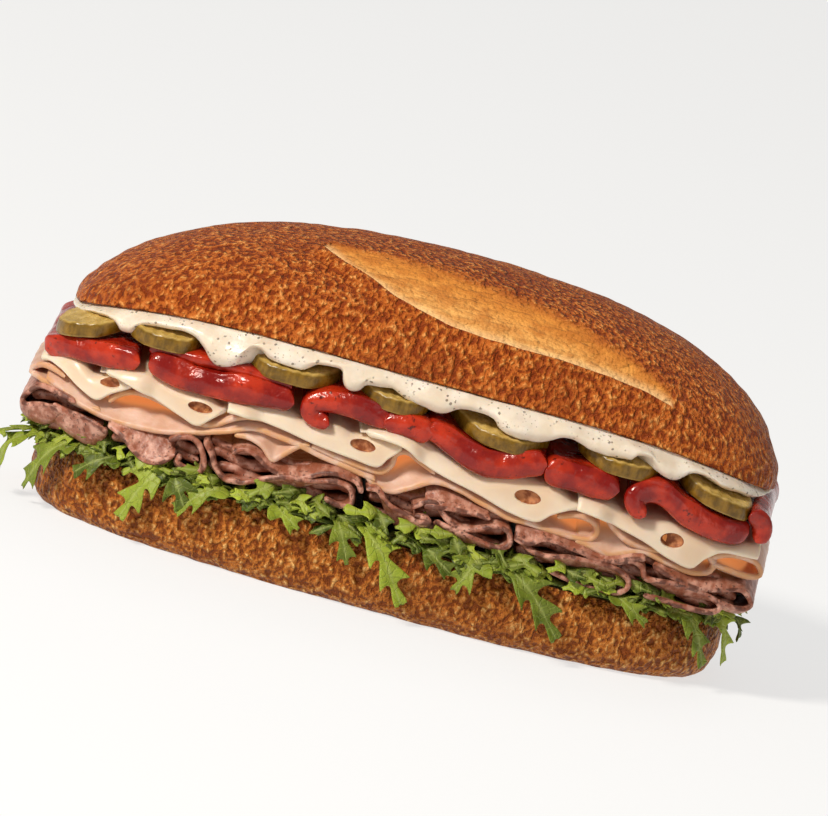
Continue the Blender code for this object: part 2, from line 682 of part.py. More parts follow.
def make_leaf(index, shape, material, collection):
    """One lobed leaf that leaves the heap level and hangs past the lower half."""
    x, side, along_rim, out, hang, width = shape
    rim, outward = rim_place(x, side)
    aside = Vector((0, 0, 1)).cross(outward)
    if aside.x < 0:
        aside = -aside
    level = Vector((0, 0, 0.5 * (HEAP_FLOOR + HEAP_TOP) - end_sag(x)))
    start = rim + level
    knots = [
        start - LEAF_ROOT * outward,
        start - 0.4 * LEAF_ROOT * outward,
        start + LEAF_BEND_OUT * outward + Vector((0, 0, LEAF_BEND_UP)),
        start + 0.4 * along_rim * aside + 0.9 * out * outward - Vector((0, 0, 0.35 * hang)),
        start + along_rim * aside + out * outward - Vector((0, 0, hang)),
    ]
    spine = curve_through([tuple(k) for k in knots], 1.0)
    bm = bmesh.new()
    bmesh.ops.create_grid(bm, x_segments=LEAF_ROWS, y_segments=2, size=0.5)
    for vert in bm.verts:
        row = round((vert.co.x + 0.5) * LEAF_ROWS)
        share = row / LEAF_ROWS
        at = min(len(spine) - 2, int(share * (len(spine) - 1)))
        place = Vector(spine[at if row < LEAF_ROWS else -1])
        run = (Vector(spine[at + 1]) - Vector(spine[at])).normalized()
        turned = smoothstep(((place - rim).dot(outward) - 0.6) / 1.6)
        facing = Vector((0, 0, 1)).lerp(outward, turned)
        sideways = facing.cross(run).normalized()
        lobe = 1.0 if row % 2 else LEAF_NOTCH
        taper = math.sin(math.pi * min(1.0, 0.15 + 0.83 * share)) ** 0.7
        half = 0.5 * width * lobe * taper + LEAF_LEAST_HALF_WIDTH
        lifted = LEAF_CUP * half * abs(vert.co.y) * 2.0 * share * outward
        point = place + 2.0 * vert.co.y * half * sideways + lifted
        sag = end_sag(point.x)
        point.z = min(point.z, HEAP_TOP - GAP - sag)
        if lower_reach(point.x, point.y) < LEAF_CLEARS_RIM:
            point.z = max(point.z, HEAP_FLOOR + LEAF_THICKNESS - sag)
        vert.co = point * MM
    leaf = new_object(f"leaf_{index}", bm, material, collection)
    thicken(leaf, LEAF_THICKNESS)
    return leaf


def make_salad(material, collection, cutters):
    """The heap of leaves: a thin uneven mat with the leaves that hang out fused to it."""
    bm = new_ball(HEAP_SEGMENTS, HEAP_RINGS)
    for vert in bm.verts:
        top = vert.co.z > EQUATOR
        across, deep, reach = ball_place(vert.co, ROLL_PLAN_POWER)
        x = LOWER_CENTRE_X + (0.5 * LOWER_LENGTH - HEAP_INSET) * across * reach
        y = (0.5 * ROLL_WIDTH - HEAP_INSET) * deep * reach
        z = HEAP_TOP if top else HEAP_FLOOR
        if reach > RIM_REACH:
            z = 0.5 * (HEAP_TOP + HEAP_FLOOR)
        vert.co = Vector((x, y, z - end_sag(x))) * MM
    mat = new_object("salad", bm, material, collection)
    leaves = bpy.data.collections.new("salad leaves")
    cutters.children.link(leaves)
    for index, shape in enumerate(LEAF_SHAPES):
        make_leaf(index, shape, material, leaves)
    fuse = mat.modifiers.new("leaves", "BOOLEAN")
    fuse.operand_type = "COLLECTION"
    fuse.collection = leaves
    fuse.operation = "UNION"
    fuse.solver = "MANIFOLD"
    bpy.context.view_layer.update()
    graph = bpy.context.evaluated_depsgraph_get()
    fused = bpy.data.meshes.new_from_object(mat.evaluated_get(graph))
    mat.modifiers.clear()
    mat.data = fused
    for leaf in list(leaves.objects):
        bpy.data.objects.remove(leaf, do_unlink=True)
    return mat


clear_scene()
roll = new_collection(NAME)
cutters = new_collection("cutters")

crust = new_material("crust", (0.42, 0.17, 0.05), 0.5)
salad_leaf = new_material("salad leaf", (0.10, 0.24, 0.03), 0.45)
beef_meat = new_material("sliced beef", (0.36, 0.17, 0.12), 0.45)
turkey_meat = new_material("sliced turkey", (0.76, 0.47, 0.34), 0.4)
cheese_paste = new_material("cheese", (0.85, 0.70, 0.40), 0.4)
pepper_flesh = new_material("roasted pepper", (0.50, 0.03, 0.015), 0.25)
pickle_flesh = new_material("pickle", (0.32, 0.27, 0.04), 0.3)
creamy_dressing = new_material("dressing", (0.80, 0.70, 0.52), 0.3)

make_lower_half(crust, roll)
make_salad(salad_leaf, roll, cutters)
for name, folds in BEEF_FOLDS.items():
    folded_slice(name, folds, BEEF_THICKNESS, BEEF_OVERHANG, beef_meat, roll, BEEF_STEP)
for name, folds in TURKEY_FOLDS.items():
    folded_slice(name, folds, TURKEY_THICKNESS, TURKEY_OVERHANG, turkey_meat, roll, TURKEY_STEP)
slices = [None, *CHEESE_SLICES.values(), None]
for name, *neighbours in zip(CHEESE_SLICES, slices, slices[1:], slices[2:]):
    make_cheese(name, neighbours, cheese_paste, roll, cutters)
for name, (strip, thickness) in PEPPER_STRIPS.items():
    folded_slice(name, strip, thickness, PEPPER_OVERHANG, pepper_flesh, roll, PEPPER_STEP)
for number, chip in enumerate(PICKLE_CHIPS, 1):
    make_chip(f"pickle_front_{number}", chip, False, pickle_flesh, roll)
    make_chip(f"pickle_back_{number}", chip, True, pickle_flesh, roll)
make_dressing(creamy_dressing, roll)
make_upper_half(crust, roll)
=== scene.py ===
import math
import random

import bmesh
import bpy
import numpy as np
from mathutils import Matrix, Vector, noise


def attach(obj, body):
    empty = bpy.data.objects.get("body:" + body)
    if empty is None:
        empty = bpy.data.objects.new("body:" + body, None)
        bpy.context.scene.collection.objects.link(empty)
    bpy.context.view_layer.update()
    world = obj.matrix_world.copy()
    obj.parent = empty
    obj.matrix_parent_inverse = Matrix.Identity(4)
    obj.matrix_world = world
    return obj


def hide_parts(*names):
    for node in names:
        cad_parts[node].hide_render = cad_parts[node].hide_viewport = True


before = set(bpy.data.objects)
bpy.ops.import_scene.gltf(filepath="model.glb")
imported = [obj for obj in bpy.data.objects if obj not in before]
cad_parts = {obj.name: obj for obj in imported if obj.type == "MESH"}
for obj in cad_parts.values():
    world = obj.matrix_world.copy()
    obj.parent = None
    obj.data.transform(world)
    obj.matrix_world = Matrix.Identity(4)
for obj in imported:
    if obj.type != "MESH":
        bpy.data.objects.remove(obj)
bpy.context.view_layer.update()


# The lower half of a long crusty roll: wheat bread with a baked, blistered crust all round and
# a soft crumb face on top, where the roll was cut open. It stands on its flat underside.
MM = 0.001
ROLL_HALF_WIDTH = 43.0
ROLL_PLAN_POWER = 2.6
LOWER_HALF_LENGTH = 99.0
LOWER_CENTRE_X = -1.5
LOWER_HEIGHT = 20.8
LOWER_ROUNDING = 5.3
LOWER_VIRTUAL_DEPTH = 24.0
LOWER_RIM_POINTS = 500
LOWER_RINGS = 70
CRUMB_REACH = 0.97
FILL_HALF_LENGTH = 110.0
FILL_HALF_DEPTH = 43.0
FILL_PLAN_POWER = 2.7
END_SAG = 0.2126


def smoothstep(value):
    t = np.clip(value, 0.0, 1.0)
    return t * t * (3.0 - 2.0 * t)


def superellipse(value, power):
    return np.maximum(0.0, 1.0 - np.minimum(1.0, np.abs(value)) ** power) ** (1.0 / power)


def fill_depth(x):
    """Half the depth of the stack of fillings at a place along the roll."""
    return FILL_HALF_DEPTH * superellipse(x / FILL_HALF_LENGTH, FILL_PLAN_POWER)


def end_sag(x):
    return (FILL_HALF_DEPTH - fill_depth(x)) * END_SAG


def unevenness(points, size, seed):
    """Smooth noise, about -1 to 1, whose swells are about size millimetres wide."""
    shift = Vector((seed * 7.3, seed * 3.1, seed * 5.7))
    values = [noise.noise(Vector(p) / size + shift) for p in points.reshape(-1, 3)]
    return np.array(values).reshape(points.shape[:-1])


def even_outline(half_length, half_width, power, count):
    """Points one even step apart round the plan of the roll."""
    turn = np.linspace(0.0, 2.0 * math.pi, 6001)
    x = half_length * np.sign(np.cos(turn)) * np.abs(np.cos(turn)) ** (2.0 / power)
    y = half_width * np.sign(np.sin(turn)) * np.abs(np.sin(turn)) ** (2.0 / power)
    length = np.concatenate([[0.0], np.cumsum(np.hypot(np.diff(x), np.diff(y)))])
    want = np.linspace(0.0, length[-1], count, endpoint=False)
    return np.interp(want, length, x), np.interp(want, length, y)


def stacked_rings(rings):
    """Points and faces of a closed body: rings of points, drawn to one point at each end."""
    first, *body, last = rings
    count = len(body[0])
    points = np.concatenate([first.reshape(-1, 3)[:1], *body, last.reshape(-1, 3)[:1]])
    ring = np.arange(count)
    after = np.roll(ring, -1)
    faces = [(0, 1 + a, 1 + b) for a, b in zip(ring, after)]
    for k in range(len(body) - 1):
        low, high = 1 + k * count, 1 + (k + 1) * count
        faces.extend(np.stack([low + ring, high + ring, high + after, low + after], -1).tolist())
    end = len(points) - 1
    faces.extend((end, end - count + b, end - count + a) for a, b in zip(ring, after))
    return points, faces


def ring_shade(rings):
    """A shade of each ring's points, for the points of the body stacked from those rings."""
    return np.concatenate([rings[0][:1], *rings[1:-1], rings[-1][:1]])


def swollen(points, middle, amount):
    """Points of a long body, each moved out from its middle by amount millimetres."""
    away = points - middle
    return points + away / np.linalg.norm(away * (0.45, 1.0, 1.0), axis=1)[:, None] * amount[:, None]


def new_piece(name, points, faces, shades=None):
    """A closed, smooth mesh object from points in millimetres, with its shades at each point."""
    mesh = bpy.data.meshes.new(name)
    mesh.from_pydata((np.asarray(points, float) * MM).tolist(), [], faces)
    for key, values in (shades or {}).items():
        layer = mesh.attributes.new(key, "FLOAT", "POINT")
        layer.data.foreach_set("value", np.ascontiguousarray(values, dtype=np.float32).ravel())
    work = bmesh.new()
    work.from_mesh(mesh)
    bmesh.ops.recalc_face_normals(work, faces=work.faces)
    work.to_mesh(mesh)
    work.free()
    mesh.shade_smooth()
    piece = bpy.data.objects.new(name, mesh)
    bpy.context.scene.collection.objects.link(piece)
    return piece


class Wire:
    """An output of a shader node, so that shader maths is written as Python."""

    def __init__(self, finish, output):
        self.finish = finish
        self.output = output

    def maths(self, operation, first, second):
        return self.finish.node("ShaderNodeMath", {"operation": operation}, {0: first, 1: second})

    def __add__(self, other):
        return self.maths("ADD", self, other)

    def __sub__(self, other):
        return self.maths("SUBTRACT", self, other)

    def __rsub__(self, other):
        return self.maths("SUBTRACT", other, self)

    def __mul__(self, other):
        return self.maths("MULTIPLY", self, other)

    __radd__ = __add__
    __rmul__ = __mul__


class Finish:
    """A material on one Principled shader. Every node comes from the node method."""

    def __init__(self, name, **constants):
        self.material = bpy.data.materials.new(name)
        self.material.use_nodes = True
        self.tree = self.material.node_tree
        self.shader = self.tree.nodes["Principled BSDF"]
        for socket, value in constants.items():
            self.shader.inputs[socket.replace("_", " ")].default_value = value
        self.place = self.node("ShaderNodeTexCoord", out="Object")

    def node(self, kind, settings=None, sockets=None, out=0):
        made = self.tree.nodes.new(kind)
        for key, value in (settings or {}).items():
            setattr(made, key, value)
        for key, value in (sockets or {}).items():
            if isinstance(value, Wire):
                self.tree.links.new(value.output, made.inputs[key])
            else:
                made.inputs[key].default_value = value
        return Wire(self, made.outputs[out])

    def feed(self, socket, wire):
        self.tree.links.new(wire.output, self.shader.inputs[socket])

    def shade(self, name):
        return self.node("ShaderNodeAttribute", {"attribute_name": name}, out="Fac")

    def grain(self, size, detail=3.0, place=None):
        """Noise from 0 to 1 with grains of about size millimetres."""
        sockets = {"Scale": 1000.0 / size, "Detail": detail, "Vector": place or self.place}
        return self.node("ShaderNodeTexNoise", None, sockets)

    def cells(self, size, place=None, feature="F1"):
        """Distance from the middle of the nearest cell, for cells about size millimetres wide."""
        sockets = {"Scale": 1000.0 / size, "Vector": place or self.place}
        return self.node("ShaderNodeTexVoronoi", {"feature": feature}, sockets)

    def stretched(self, x, y, z):
        """The place with each direction made that many times as long."""
        return self.node("ShaderNodeMapping", None, {"Vector": self.place, "Scale": (1 / x, 1 / y, 1 / z)})

    def warped(self, place, size, amount):
        """The place pushed about by amount millimetres, in swells of size millimetres."""
        push = self.node("ShaderNodeTexNoise", None, {"Scale": 1000.0 / size, "Vector": place}, out="Color")
        centred = self.node("ShaderNodeVectorMath", {"operation": "SUBTRACT"}, {0: push, 1: (0.5, 0.5, 0.5)})
        scaled = self.node("ShaderNodeVectorMath", {"operation": "SCALE"}, {0: centred, "Scale": amount * MM})
        return self.node("ShaderNodeVectorMath", {"operation": "ADD"}, {0: place, 1: scaled})

    def between(self, value, low, high):
        """0 where value is low, 1 where it is high, and smooth between them."""
        return self.node(
            "ShaderNodeMapRange",
            {"interpolation_type": "SMOOTHSTEP"},
            {"Value": value, "From Min": low, "From Max": high},
        )

    def mix(self, share, one, other):
        colours = [c if isinstance(c, Wire) else (*c, 1.0) for c in (one, other)]
        sockets = {0: share, 6: colours[0], 7: colours[1]}
        return self.node("ShaderNodeMix", {"data_type": "RGBA"}, sockets, out=2)

    def bump(self, height, depth):
        """Relief of depth millimetres."""
        sockets = {"Height": height, "Distance": depth * MM, "Strength": 1.0}
        self.feed("Normal", self.node("ShaderNodeBump", None, sockets))


def crust_finish(name, baked, crevice, blister_top, blister_size):
    """Baked crust: raised blisters, cloudy browning and, where it has one, a slash. Painted shade darkens the
    low places of the relief and painted highlight lightens its peaks.
    """
    crust = Finish(name, Specular_IOR_Level=0.3, Specular_Tint=(1.0, 0.72, 0.42, 1.0))
    place = crust.warped(crust.stretched(1.0, 1.0, 1.45), 3.0, 1.4)
    fine = crust.grain(0.8, 3.0)
    blister = 1.0 - crust.cells(blister_size * 0.8, place)
    height = crust.grain(blister_size, 2.0, place) * 0.55 + blister * 0.25 + fine * 0.2
    cloud = crust.grain(17.0, 3.0)
    # painted shade and highlight: the low places of the relief take the dark crevice colour, and the peaks a
    # pale colour that is partly paler crust and partly painted highlight
    colour = crust.mix(crust.between(height, 0.42, 0.53), crevice, baked)
    colour = crust.mix(crust.between(height, 0.53, 0.69), colour, blister_top)
    colour = crust.mix(crust.between(cloud, 0.46, 0.74) * 0.45, colour, crevice)
    slash = crust.between(crust.shade("slash") + 0.16 * crust.grain(4.0, 4.0), 0.54, 0.68)
    streak = crust.between(crust.grain(2.2, 4.0, crust.stretched(2.6, 1.0, 1.0)), 0.36, 0.66)
    behind = crust.shade("behind")
    golden = crust.mix(crust.between(behind, 0.0, 0.8), (0.90, 0.49, 0.15), (0.74, 0.28, 0.045))
    golden = crust.mix(streak * 0.5, golden, (0.50, 0.15, 0.02))
    patch = crust.between(crust.grain(5.0, 5.0), 0.42, 0.62) * crust.between(behind, 0.05, 0.5)
    golden = crust.mix(patch * 0.55, golden, (0.48, 0.14, 0.02))
    golden = crust.mix(crust.between(fine, 0.52, 0.66) * 0.4, golden, (0.50, 0.16, 0.025))
    rear = crust.between(behind + 0.3 * crust.grain(6.0, 4.0), 0.8, 1.15)
    golden = crust.mix(rear * 0.6, golden, (0.42, 0.10, 0.012))
    golden = crust.mix(crust.shade("tear") * 0.85, golden, (1.0, 0.68, 0.34))
    colour = crust.mix(slash, colour, golden)
    crumb = crust.mix(crust.between(crust.grain(2.2, 4.0), 0.4, 0.6), (0.80, 0.58, 0.34), (0.88, 0.72, 0.48))
    colour = crust.mix(crust.shade("crumb"), colour, crumb)
    crust.feed("Base Color", colour)
    crust.feed("Roughness", 0.32 + 0.28 * fine + 0.14 * slash)
    crust.bump(height * (1.0 - slash * 0.75) + streak * slash * 0.10, 5.2)
    return crust.material


rim_x, rim_y = even_outline(LOWER_HALF_LENGTH, ROLL_HALF_WIDTH, ROLL_PLAN_POWER, LOWER_RIM_POINTS)
rings, crumb = [], []
for reach in (0.0, 0.3, 0.6, 0.8, 0.9, 0.96, 0.985, 1.0):
    x, y = LOWER_CENTRE_X + rim_x * reach, rim_y * reach
    rings.append(np.stack([x, y, LOWER_HEIGHT - end_sag(x)], -1))
    crumb.append(np.full(LOWER_RIM_POINTS, 1.0 if reach < CRUMB_REACH else 0.0))
for turn in np.linspace(0.0, 1.0, LOWER_RINGS)[1:]:
    reach = math.cos(0.5 * math.pi * turn)
    x, y = LOWER_CENTRE_X + rim_x * reach, rim_y * reach
    drop = LOWER_VIRTUAL_DEPTH * superellipse(reach, LOWER_ROUNDING)
    rings.append(np.stack([x, y, np.maximum(0.0, LOWER_HEIGHT - end_sag(x) - drop)], -1))
    crumb.append(np.zeros(LOWER_RIM_POINTS))
points, faces = stacked_rings(rings)
crumb = ring_shade(crumb)
swell = 0.45 * unevenness(points, 9.0, 1) + 0.28 * unevenness(points, 3.5, 2)
points = swollen(points, (LOWER_CENTRE_X, 0.0, 14.0), (swell - 0.25) * (1.0 - crumb))
points[:, 2] = np.maximum(0.0, points[:, 2])
bun_bottom = new_piece("lower_half", points, faces, {"crumb": crumb})
bun_bottom.data.materials.append(
    crust_finish("lower crust", (0.50, 0.15, 0.021), (0.21, 0.042, 0.005), (0.90, 0.48, 0.155), 1.6)
)
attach(bun_bottom, "root")
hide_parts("bun_bottom")


# The upper half of the same roll. The baker cut one long slash aslant over it before baking: it
# opened into a smooth golden valley with a raised dark lip and a pale torn edge at its front.
UPPER_HALF_LENGTH = 100.0
UPPER_RISE = 27.4
UPPER_RISE_POWER_LEFT = 1.75
UPPER_RISE_POWER_RIGHT = 2.3

# The slash's front and back lines, as x and the degrees up round the crust from its front edge.
SLASH_FRONT = [(-42, 72), (-30, 53.5), (-15, 38), (0, 29.5), (20, 26.5), (45, 27.5), (62, 26), (76, 21)]
SLASH_BACK = [(-42, 74), (-30, 73), (-10, 70), (10, 66), (30, 60), (50, 50), (64, 38), (76, 24)]
SLASH_DEPTH = 1.3
SLASH_LEFT = -42.0
SLASH_RIGHT = 73.0
LIP_HEIGHT = 1.5
LIP_WIDTH = 7.0
CROWN_HEIGHT = 5.0
UPPER_EDGE_HEIGHT = 67.5
UPPER_EDGE_DROOP = 11.0
UPPER_RIM_POINTS = 560
UPPER_RINGS = 110


def smooth_line(knots, step=0.5):
    """Points about one step apart along a smooth line through knots of any number of values."""
    knots = np.array(knots, float)
    padded = np.vstack([2 * knots[0] - knots[1], knots, 2 * knots[-1] - knots[-2]])
    spans = []
    for p0, p1, p2, p3 in zip(padded, padded[1:], padded[2:], padded[3:]):
        count = max(2, round(float(np.linalg.norm((p2 - p1)[:2])) / step))
        t = np.linspace(0.0, 1.0, count, endpoint=False)[:, None]
        spans.append(
            0.5 * (2 * p1 + (p2 - p0) * t + (2 * p0 - 5 * p1 + 4 * p2 - p3) * t * t
                   + (3 * p1 - p0 - 3 * p2 + p3) * t ** 3)
        )
    return np.vstack([*spans, knots[-1:]])


def height_on(knots, x):
    line = smooth_line(knots)
    return np.interp(x, line[:, 0], line[:, 1])


def crown(x, y):
    """How much higher the stack stands at a place than at its edge."""
    along, across = np.abs(x / FILL_HALF_LENGTH), np.abs(y / FILL_HALF_DEPTH)
    reach = (along ** FILL_PLAN_POWER + across ** FILL_PLAN_POWER) ** (1.0 / FILL_PLAN_POWER)
    return CROWN_HEIGHT * (1.0 - np.minimum(1.0, reach) ** 3)


def upper_edge(x):
    """Height of the cut edge of the upper half, which droops towards its ends."""
    return UPPER_EDGE_HEIGHT - UPPER_EDGE_DROOP * np.abs(x / UPPER_HALF_LENGTH) ** 4


def upper_cut_face(x, y, reach):
    return upper_edge(x) + crown(x, y) * smoothstep((1.0 - reach) * 3.0)


rim_x, rim_y = even_outline(UPPER_HALF_LENGTH, ROLL_HALF_WIDTH, ROLL_PLAN_POWER, UPPER_RIM_POINTS)
rings, slash, behind, tear, crumb = [], [], [], [], []
for turn in np.linspace(0.0, 1.0, UPPER_RINGS):
    reach = math.sin(0.5 * math.pi * turn)
    x, y = rim_x * reach, rim_y * reach
    depth = np.maximum(ROLL_HALF_WIDTH * superellipse(x / UPPER_HALF_LENGTH, ROLL_PLAN_POWER), 0.01)
    power = np.where(x < 0, UPPER_RISE_POWER_LEFT, UPPER_RISE_POWER_RIGHT)
    rise = np.maximum(0.0, 1.0 - np.abs(x / UPPER_HALF_LENGTH) ** power) ** (1.0 / power)
    rise = UPPER_RISE * rise * superellipse(y / depth, 2.15)
    angle = np.degrees(np.arccos(np.clip(-y / depth, -1.0, 1.0)))
    angle = angle + 1.6 * unevenness(np.stack([x, y, rise], -1), 8.0, 7)
    front, back = height_on(SLASH_FRONT, x), height_on(SLASH_BACK, x)
    inwards, wide = angle - front, np.maximum(back - front, 1.0)
    along = smoothstep((x - SLASH_LEFT) / 6.0) * smoothstep((SLASH_RIGHT - x) / 8.0)
    valley = smoothstep(inwards / 4.0) * smoothstep((back - angle) / 16.0) * along
    risen = smoothstep((inwards + LIP_WIDTH + 2.0) / LIP_WIDTH)
    lip = risen * (1.0 - smoothstep((inwards + 1.0) / 3.5)) * along
    relief = np.where(reach > 0.995, 0.0, 1.0) * (LIP_HEIGHT * lip - SLASH_DEPTH * valley)
    rings.append(np.stack([x, y, upper_edge(x) + rise + relief], -1))
    slash.append(np.clip(0.5 + np.minimum(inwards, 0.14 * (back - angle)) / 10.0, 0.0, 1.0) * along)
    behind.append(np.clip(inwards / wide, 0.0, 1.0))
    torn = smoothstep((inwards + 1.0) / 2.0)
    tear.append(torn * (1.0 - smoothstep((inwards - 2.0) / 9.0)) * along)
    crumb.append(np.zeros(UPPER_RIM_POINTS))
for reach in (0.985, 0.96, 0.9, 0.8, 0.6, 0.3, 0.0):
    x, y = rim_x * reach, rim_y * reach
    rings.append(np.stack([x, y, upper_cut_face(x, y, reach)], -1))
    for shade in (slash, behind, tear):
        shade.append(np.zeros(UPPER_RIM_POINTS))
    crumb.append(np.full(UPPER_RIM_POINTS, 1.0 if reach < CRUMB_REACH else 0.0))
points, faces = stacked_rings(rings)
shades = {
    key: ring_shade(shade)
    for key, shade in (("slash", slash), ("behind", behind), ("tear", tear), ("crumb", crumb))
}
swell = 0.42 * unevenness(points, 14.0, 3) + 0.22 * unevenness(points, 4.0, 4)
swell = swell * (1.0 - 0.6 * shades["slash"]) * (1.0 - shades["crumb"])
points = swollen(points, (0.0, 0.0, 66.0), swell)
bun_top = new_piece("upper_half", points, faces, shades)
bun_top.data.materials.append(
    crust_finish("upper crust", (0.53, 0.125, 0.016), (0.25, 0.036, 0.004), (0.90, 0.38, 0.10), 1.7)
)
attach(bun_top, "root")
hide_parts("bun_top")


# The dressing: a thick creamy layer with flecks of herb and pepper, spooned on under the upper
# half. It swells out along the front, drips between the pickle chips and shines where it is wet.

# The dressing's lower edge at the front, as x and height.
DRESSING_HEM = [
    (-104, 57.0), (-100, 57.8), (-97, 58.3), (-94, 59.8), (-90, 60.1), (-87, 59.3), (-85, 57.8),
    (-82, 58.0), (-80, 60.3), (-77, 61.6), (-72, 62.2), (-68, 62.6), (-64, 61.6), (-61, 59.3), (-59, 57.1),
    (-56.5, 55.9), (-53, 56.8), (-51, 58.8), (-50, 61.4), (-48.5, 63.4), (-46.5, 63.7), (-45, 62.9),
    (-43, 61.6), (-38, 61.3), (-34, 61.2), (-32, 62.4), (-30, 63.6), (-25, 64.4), (-23, 63.8), (-22, 60.8),
    (-20, 59.3), (-17.5, 59.7), (-16, 61.6), (-12, 62.4), (-9, 62.8), (-7, 62.0), (-4, 60.9), (0, 60.5),
    (4, 59.8), (7, 60.1), (9.5, 61.9), (12, 62.8), (16, 62.8), (20, 62.0), (22, 60.1), (26, 59.1),
    (30, 58.8), (34, 59.3), (37, 60.8), (39, 62.0), (42, 62.6), (45, 62.0), (48, 61.2), (54, 60.9),
    (59, 61.2), (60.5, 62.8), (62.5, 63.3), (65, 62.6), (66.5, 60.7), (69, 59.3), (72, 58.7), (74, 59.7),
    (76, 61.6), (79, 62.2), (82, 61.6), (86, 59.9), (90, 59.5), (94, 58.7), (97, 58.9), (99, 60.8),
    (104, 60.0),
]
DRESSING_HALF_LENGTH = 99.4
DRESSING_HALF_WIDTH = 43.6
DRESSING_PLAN_POWER = 2.9
DRESSING_TOP_HALF_LENGTH = UPPER_HALF_LENGTH - 0.8
DRESSING_TOP_HALF_WIDTH = ROLL_HALF_WIDTH - 0.4
DRESSING_RIM_POINTS = 720
CROWN_FROM_HEIGHT = 21.0
CROWN_OVER_HEIGHT = 21.0
LAID_ASLANT = 2.5
DRESSING_FAR_HEM = [
    (-104, 58.6), (-80, 60.6), (-60, 59.6), (-30, 61.5), (0, 60.2), (30, 61.4), (60, 59.8), (104, 58.6),
]


def settle(x, y, z):
    """Bend points of the flat stack of fillings to where they lie in the filled roll."""
    share = smoothstep((z - CROWN_FROM_HEIGHT) / CROWN_OVER_HEIGHT)
    inward = 1.0 - np.minimum(1.0, np.abs(x) / FILL_HALF_LENGTH) ** 2
    along = x + LAID_ASLANT * inward * np.sin(np.pi * y / FILL_HALF_DEPTH)
    return np.stack(np.broadcast_arrays(along, y, z + crown(x, y) * share - end_sag(x)), -1)


rim_x, rim_y = even_outline(
    DRESSING_TOP_HALF_LENGTH, DRESSING_TOP_HALF_WIDTH, ROLL_PLAN_POWER, DRESSING_RIM_POINTS
)
lengthwise = np.sign(rim_x) * np.abs(rim_x / DRESSING_TOP_HALF_LENGTH) ** (ROLL_PLAN_POWER / 2)
sideways = np.sign(rim_y) * np.abs(rim_y / DRESSING_TOP_HALF_WIDTH) ** (ROLL_PLAN_POWER / 2)
hem_x = DRESSING_HALF_LENGTH * np.sign(lengthwise) * np.abs(lengthwise) ** (2 / DRESSING_PLAN_POWER)
hem_y = DRESSING_HALF_WIDTH * np.sign(sideways) * np.abs(sideways) ** (2 / DRESSING_PLAN_POWER)
front = smoothstep(-hem_y / 12.0 + 0.5)
hem = front * height_on(DRESSING_HEM, hem_x) + (1.0 - front) * height_on(DRESSING_FAR_HEM, hem_x)
outward = np.stack([hem_x / 300.0, hem_y / 43.0], -1)
outward /= np.linalg.norm(outward, axis=1)[:, None]
rings = []
for reach in (0.0, 0.4, 0.75, 0.9, 0.955, 0.98):
    x, y = rim_x * reach, rim_y * reach
    rings.append(np.stack([x, y, upper_cut_face(x, y, reach) - 0.4], -1))
top = upper_edge(rim_x) - 0.3
low = settle(hem_x, -fill_depth(hem_x), hem)[:, 2]
tall = np.maximum(top - low, 1.0)
runs = smoothstep((tall - 5.5) / 4.0)
blobs = 1.0 + 0.45 * unevenness(np.stack([hem_x, hem_y, np.zeros_like(hem_x)], -1), 8.0, 12)
for turn in np.linspace(0.0, 1.0, 22):
    swell = math.sin(math.pi * (0.06 + 0.90 * turn)) ** 0.7
    out = (1.0 + 0.5 * np.sqrt(tall) + 1.5 * runs * turn) * swell * blobs - 1.0
    slide = smoothstep(turn * 1.25)
    x = rim_x + (hem_x - rim_x) * slide + outward[:, 0] * out
    y = rim_y + (hem_y - rim_y) * slide + outward[:, 1] * out
    rings.append(np.stack([x, y, top - tall * turn], -1))
for reach, lift in ((0.975, 0.4), (0.95, 0.8), (0.91, 1.4), (0.85, 2.0)):
    rings.append(np.stack([hem_x * reach, hem_y * reach, np.minimum(low + lift, top - 0.5)], -1))
for reach in (0.7, 0.4, 0.0):
    x, y = rim_x * reach, rim_y * reach
    rings.append(np.stack([x, y, upper_cut_face(x, y, reach) - 2.4], -1))
points, faces = stacked_rings(rings)
ripple = 0.42 * unevenness(points, 6.0, 5) + 0.14 * unevenness(points, 2.6, 6)
points = points + ripple[:, None] * np.array([0.3, 1.0, 0.6])
dressing = new_piece("dressing_layer", points, faces)
cream = Finish(
    "creamy dressing", Subsurface_Weight=0.25, Subsurface_Scale=0.004, Subsurface_Radius=(1.0, 0.6, 0.35)
)
spot = cream.cells(1.7, cream.warped(cream.place, 2.0, 1.2))
fleck = (1.0 - cream.between(spot, 0.16, 0.27)) * cream.between(cream.grain(5.0, 1.0), 0.44, 0.54)
small = 1.0 - cream.between(cream.cells(1.1), 0.12, 0.24)
small = small * cream.between(cream.grain(7.0, 1.0), 0.5, 0.58) * 0.6
ground = cream.mix(cream.between(cream.grain(7.0, 3.0), 0.35, 0.7), (0.72, 0.59, 0.44), (0.84, 0.73, 0.60))
ground = cream.mix(small, ground, (0.30, 0.21, 0.12))
cream.feed("Base Color", cream.mix(fleck * 0.75, ground, (0.12, 0.09, 0.06)))
cream.feed("Roughness", 0.16 + 0.18 * cream.grain(4.0, 2.0))
cream.bump(cream.grain(3.0, 2.0) * 0.6 + fleck * 0.25, 0.5)
dressing.data.materials.append(cream.material)
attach(dressing, "root")
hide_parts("dressing")


# Pickle chips: slices across a pickled gherkin, cut with a crinkled blade. Dull olive skin runs
# round the rim and pale, wet, seeded flesh shows on the rippled faces.

# A chip is its middle along the roll, its radius, its height and its slope.
PICKLE_CHIPS = [
    (-92.0, 10.0, 56.4, 0.12), (-70.6, 10.6, 58.4, 0.0), (-35.5, 14.0, 58.5, 0.0), (-6.4, 10.8, 58.7, 0.0),
    (24.2, 14.4, 56.4, -0.02), (57.0, 12.0, 58.3, 0.0), (84.6, 10.9, 56.5, -0.12),
]
PICKLE_THICKNESS = 4.3
PICKLE_OVERHANG = 1.6
BACK_CHIP_SCALE = 0.92
CRINKLE = 2.9
CHIP_RIM_POINTS = 120


